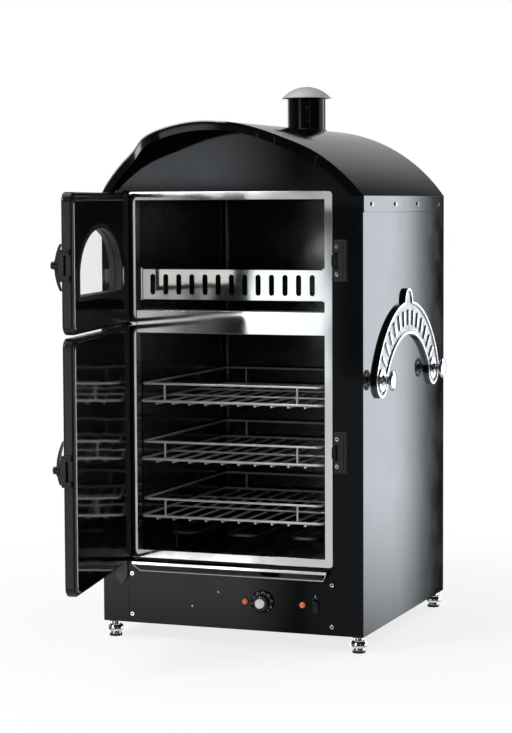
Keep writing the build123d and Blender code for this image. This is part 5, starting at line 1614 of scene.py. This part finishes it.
@dataclass
class Studio:
    """The camera, the lamp, what polished faces mirror, and the floor.

    Its distances are in metres and its angles in degrees. The focal length and the height of the
    picture are in pixels, so the lens follows from their ratio.
    """

    place: tuple[float, float, float] = (1.4417, -3.9169, 0.8027)
    focal: float = 2170.62
    tall: float = 733.0
    yaw: float = 20.813
    pitch: float = -4.22
    roll: float = -0.251
    room: float = 7.0
    room_glow: float = 0.02
    room_tint: tuple[float, float, float] = (0.94, 0.97, 1.0)
    card_tint: tuple[float, float, float] = (0.88, 0.94, 1.0)
    front_cards_y: float = -2.5
    front_lobe_top: Point = (0.75, 1.3)
    fill: float = 0.75
    floor_half: float = 14.0
    floor_pale: float = 0.92
    # distances from the oven between which the floor's white sets in, and its shares there
    floor_clear: Point = (0.45, 1.3)
    floor_white: Point = (0.8, 1.0)
    lamp_place: tuple[float, float, float] = (-1.6, -2.6, 2.4)
    lamp_aim: tuple[float, float, float] = (0.0, 0.0, 0.5)
    lamp_size: float = 1.2
    lamp_watts: float = 60.0

    def camera(self) -> None:
        """Stands the camera where it sees the oven from the front and the right."""
        yaw, pitch, roll = (math.radians(a) for a in (self.yaw, self.pitch, self.roll))
        ahead = Vector(
            (-math.sin(yaw) * math.cos(pitch), math.cos(yaw) * math.cos(pitch), math.sin(pitch))
        )
        right = Vector((math.cos(yaw), math.sin(yaw), 0))
        up = right.cross(ahead)
        across = right * math.cos(roll) + up * math.sin(roll)
        above = up * math.cos(roll) - right * math.sin(roll)
        data = bpy.data.cameras.new("camera")
        data.sensor_width = 36.0
        data.lens = self.focal * data.sensor_width / self.tall
        data.clip_start, data.clip_end = 0.05, 60.0
        camera = stand("camera", data)
        turn = Matrix((across, above, -ahead)).transposed()
        camera.matrix_world = Matrix.Translation(self.place) @ turn.to_4x4()
        bpy.context.scene.camera = camera

    @staticmethod
    def prop(name: str, mesh: bmesh.types.BMesh) -> tuple[bpy.types.Object, Net]:
        """Stands a mesh in the studio, with a material of its own.

        Args:
            name: What both are called.
            mesh: The shape, which is used up.

        Returns:
            The object and the nodes of its material.
        """
        data = mesh_data(name, mesh)
        material = bpy.data.materials.new(name)
        data.materials.append(material)
        return stand(name, data), Net(material)

    @staticmethod
    def glow(
        thing: bpy.types.Object, net: Net, tint: tuple[float, float, float], strength: bpy.types.NodeSocket
    ) -> None:
        """Makes a thing glow, but only in reflections.

        Args:
            thing: What glows.
            net: The nodes of its material.
            tint: The colour of the glow.
            strength: How strong it is from place to place.
        """
        glow = net.add("Emission", {"Color": (*tint, 1.0), "Strength": strength})
        net.end(glow.outputs["Emission"])
        thing.visible_camera = False
        thing.visible_diffuse = False
        thing.visible_transmission = False
        thing.visible_shadow = False

    def sheet(
        self,
        name: str,
        size: Point,
        place: Vector,
        facing: Vector,
        strength: float,
        fade: Point,
        rise: Point,
    ) -> None:
        """Hangs a glowing card that fades across its width and up its height.

        Args:
            name: The card's name.
            size: Width and height.
            place: Its middle.
            facing: The way that it faces.
            strength: Its glow where it is brightest.
            fade: Distances across, as shares of the width, at which the glow starts and is full.
            rise: The same up the card.
        """
        mesh = bmesh.new()
        bmesh.ops.create_grid(mesh, x_segments=1, y_segments=1, size=0.5)
        card, net = self.prop(name, mesh)
        turn = facing.to_track_quat("Z", "Y").to_matrix().to_4x4()
        card.matrix_world = Matrix.Translation(place) @ turn @ Matrix.Diagonal((*size, 1, 1))
        spot = net.add("SeparateXYZ", {"Vector": net.place()}).outputs
        across = net.spread(spot["X"], fade, (0.0, strength))
        along = net.spread(spot["Y"], rise, (0.0, 1.0))
        self.glow(card, net, self.card_tint, net.maths("MULTIPLY", across, along))

    def cards(self) -> None:
        """Hangs the card behind the right side and those in front of the oven."""
        forward = Vector((0, -1, 0))
        place = Vector((1.45, 2.2, 0.55))
        self.sheet("side_card", (1.4, 2.6), place, forward, 5.3, (-0.445, -0.345), (-0.5, -0.2))
        front_cards = (
            # name, width and height, middle, strength, fades across and up
            ("low_card", (0.8, 0.5), (-1.05, -0.51), 5.0, (-0.5, -0.22), (-0.3, 0.5)),
            ("high_card", (0.8, 0.57), (-1.05, 1.15), 9.5, (-0.5, -0.12), (0.351, -0.614)),
            ("hinge_card", (0.4, 1.8), (2.05, 0.5), 1.2, (0.5, 0.25), (0.5, 0.35)),
            ("door_card", (0.22, 2.0), (-0.26, 0.2), 2.2, (-0.5, -0.3), (0.5, 0.3)),
            ("middle_card", (0.4, 0.5), (-0.66, 0.56), 2.0, (-0.42, 0.0), (0.48, 0.0)),
        )
        for name, size, (x, z), strength, fade, rise in front_cards:
            place = Vector((x, self.front_cards_y, z))
            self.sheet(name, size, place, -forward, strength, fade, rise)

    def surround(self) -> None:
        """Puts the dark room round the object that its polished faces mirror."""
        mesh = bmesh.new()
        bmesh.ops.create_icosphere(mesh, subdivisions=5, radius=self.room)
        bmesh.ops.reverse_faces(mesh, faces=mesh.faces)
        room, net = self.prop("surround", mesh)
        spot = net.place()
        lobes = (
            # direction, cosines at which it starts and is full, strength
            ((-0.42, -0.91, 0.0), (0.90, 0.965), 0.85),
            ((-0.30, 0.92, 0.30), (0.88, 0.985), 0.60),
            ((-0.36, 0.0, 0.93), (0.86, 0.95), 2.6),
            ((-1.0, 0.1, 0.2), (0.70, 0.97), 0.30),
            ((0.85, 0.49, -0.10), (0.88, 0.99), 3.0),
            ((-0.77, 0.64, -0.15), (0.88, 0.99), 3.0),
            ((-0.22, 0.97, -0.22), (0.94, 0.995), 3.0),
            ((0.0, 0.0, -1.0), (0.35, 0.80), 0.80),
        )
        total = self.room_glow
        for index, (direction, cosines, strength) in enumerate(lobes):
            aim = {0: spot, 1: Vector(direction).normalized() / self.room}
            cosine = net.add("VectorMath", aim, operation="DOT_PRODUCT").outputs["Value"]
            lobe = net.spread(cosine, cosines, (0.0, strength))
            if index == 0:  # the front lobe ends above the oven
                height = net.add("SeparateXYZ", {"Vector": spot}).outputs["Z"]
                below = net.spread(height, self.front_lobe_top, (1.0, 0.0))
                lobe = net.maths("MULTIPLY", lobe, below)
            total = net.maths("ADD", lobe, total)
        self.glow(room, net, self.room_tint, total)

    def floor(self) -> None:
        """Lays the pale floor, which turns to plain white for the camera away from the oven."""
        mesh = bmesh.new()
        bmesh.ops.create_grid(mesh, x_segments=4, y_segments=4, size=self.floor_half)
        floor, net = self.prop("floor", mesh)
        pale = net.tree.nodes["Principled BSDF"]
        tint = (self.floor_pale, self.floor_pale, self.floor_pale, 1.0)
        net.feed(pale, {"Base Color": tint, "Roughness": 0.9, "Specular IOR Level": 0.0})
        away = net.add("VectorMath", {0: net.place()}, operation="LENGTH").outputs["Value"]
        clear = net.spread(away, self.floor_clear, self.floor_white)
        seen = net.maths("MULTIPLY", net.add("LightPath").outputs["Is Camera Ray"], clear)
        white = net.add("Emission")
        mix = {"Fac": seen, 1: pale.outputs["BSDF"], 2: white.outputs["Emission"]}
        net.end(net.add("MixShader", mix).outputs["Shader"])
        floor.visible_glossy = False

    def world(self) -> None:
        """Sets the plain fill light, and white for the camera, glossy and transmission rays.

        The surround stands in front of that white for glossy rays.
        """
        world = bpy.data.worlds.new("studio")
        bpy.context.scene.world = world
        net = Net(world)
        plain = (1.0, 1.0, 1.0, 1.0)
        fill = net.feed(net.tree.nodes["Background"], {"Color": plain, "Strength": self.fill})
        white = net.add("Background", {"Color": plain, "Strength": 1.0})
        rays = net.add("LightPath").outputs
        seen = net.maths("MAXIMUM", rays["Is Camera Ray"], rays["Is Glossy Ray"])
        seen = net.maths("MAXIMUM", seen, rays["Is Transmission Ray"])
        mix = {"Fac": seen, 1: fill.outputs["Background"], 2: white.outputs["Background"]}
        net.end(net.add("MixShader", mix).outputs["Shader"])

    def lamp(self) -> None:
        """Hangs the one soft square lamp, to the left and in front."""
        data = bpy.data.lights.new("front_lamp", "AREA")
        data.size = self.lamp_size
        data.energy = self.lamp_watts
        lamp = stand("front_lamp", data)
        place = Vector(self.lamp_place)
        turn = (place - Vector(self.lamp_aim)).to_track_quat("Z", "Y").to_matrix().to_4x4()
        lamp.matrix_world = Matrix.Translation(place) @ turn
        lamp.visible_camera = False

    def build(self) -> None:
        """Builds the whole studio."""
        bpy.context.scene.view_settings.view_transform = "Standard"
        self.camera()
        self.world()
        self.surround()
        self.floor()
        self.cards()
        self.lamp()
        LOG.info("studio ready")


def main() -> None:
    """Builds the sub-assemblies in order and dresses them."""
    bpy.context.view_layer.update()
    paint = Paint()
    paint.coat_nodes()
    refine_nodes(paint)
    for assembly in (
        Roof(), Flue(), EaveStrips(), Fasteners(), Keepers(), SillBead(), Racks(), Element(),
        Feet(), ArchKnobs(), Controls(),
    ):
        assembly.build(paint)
    Studio().build()


if __name__ == "__main__":
    main()
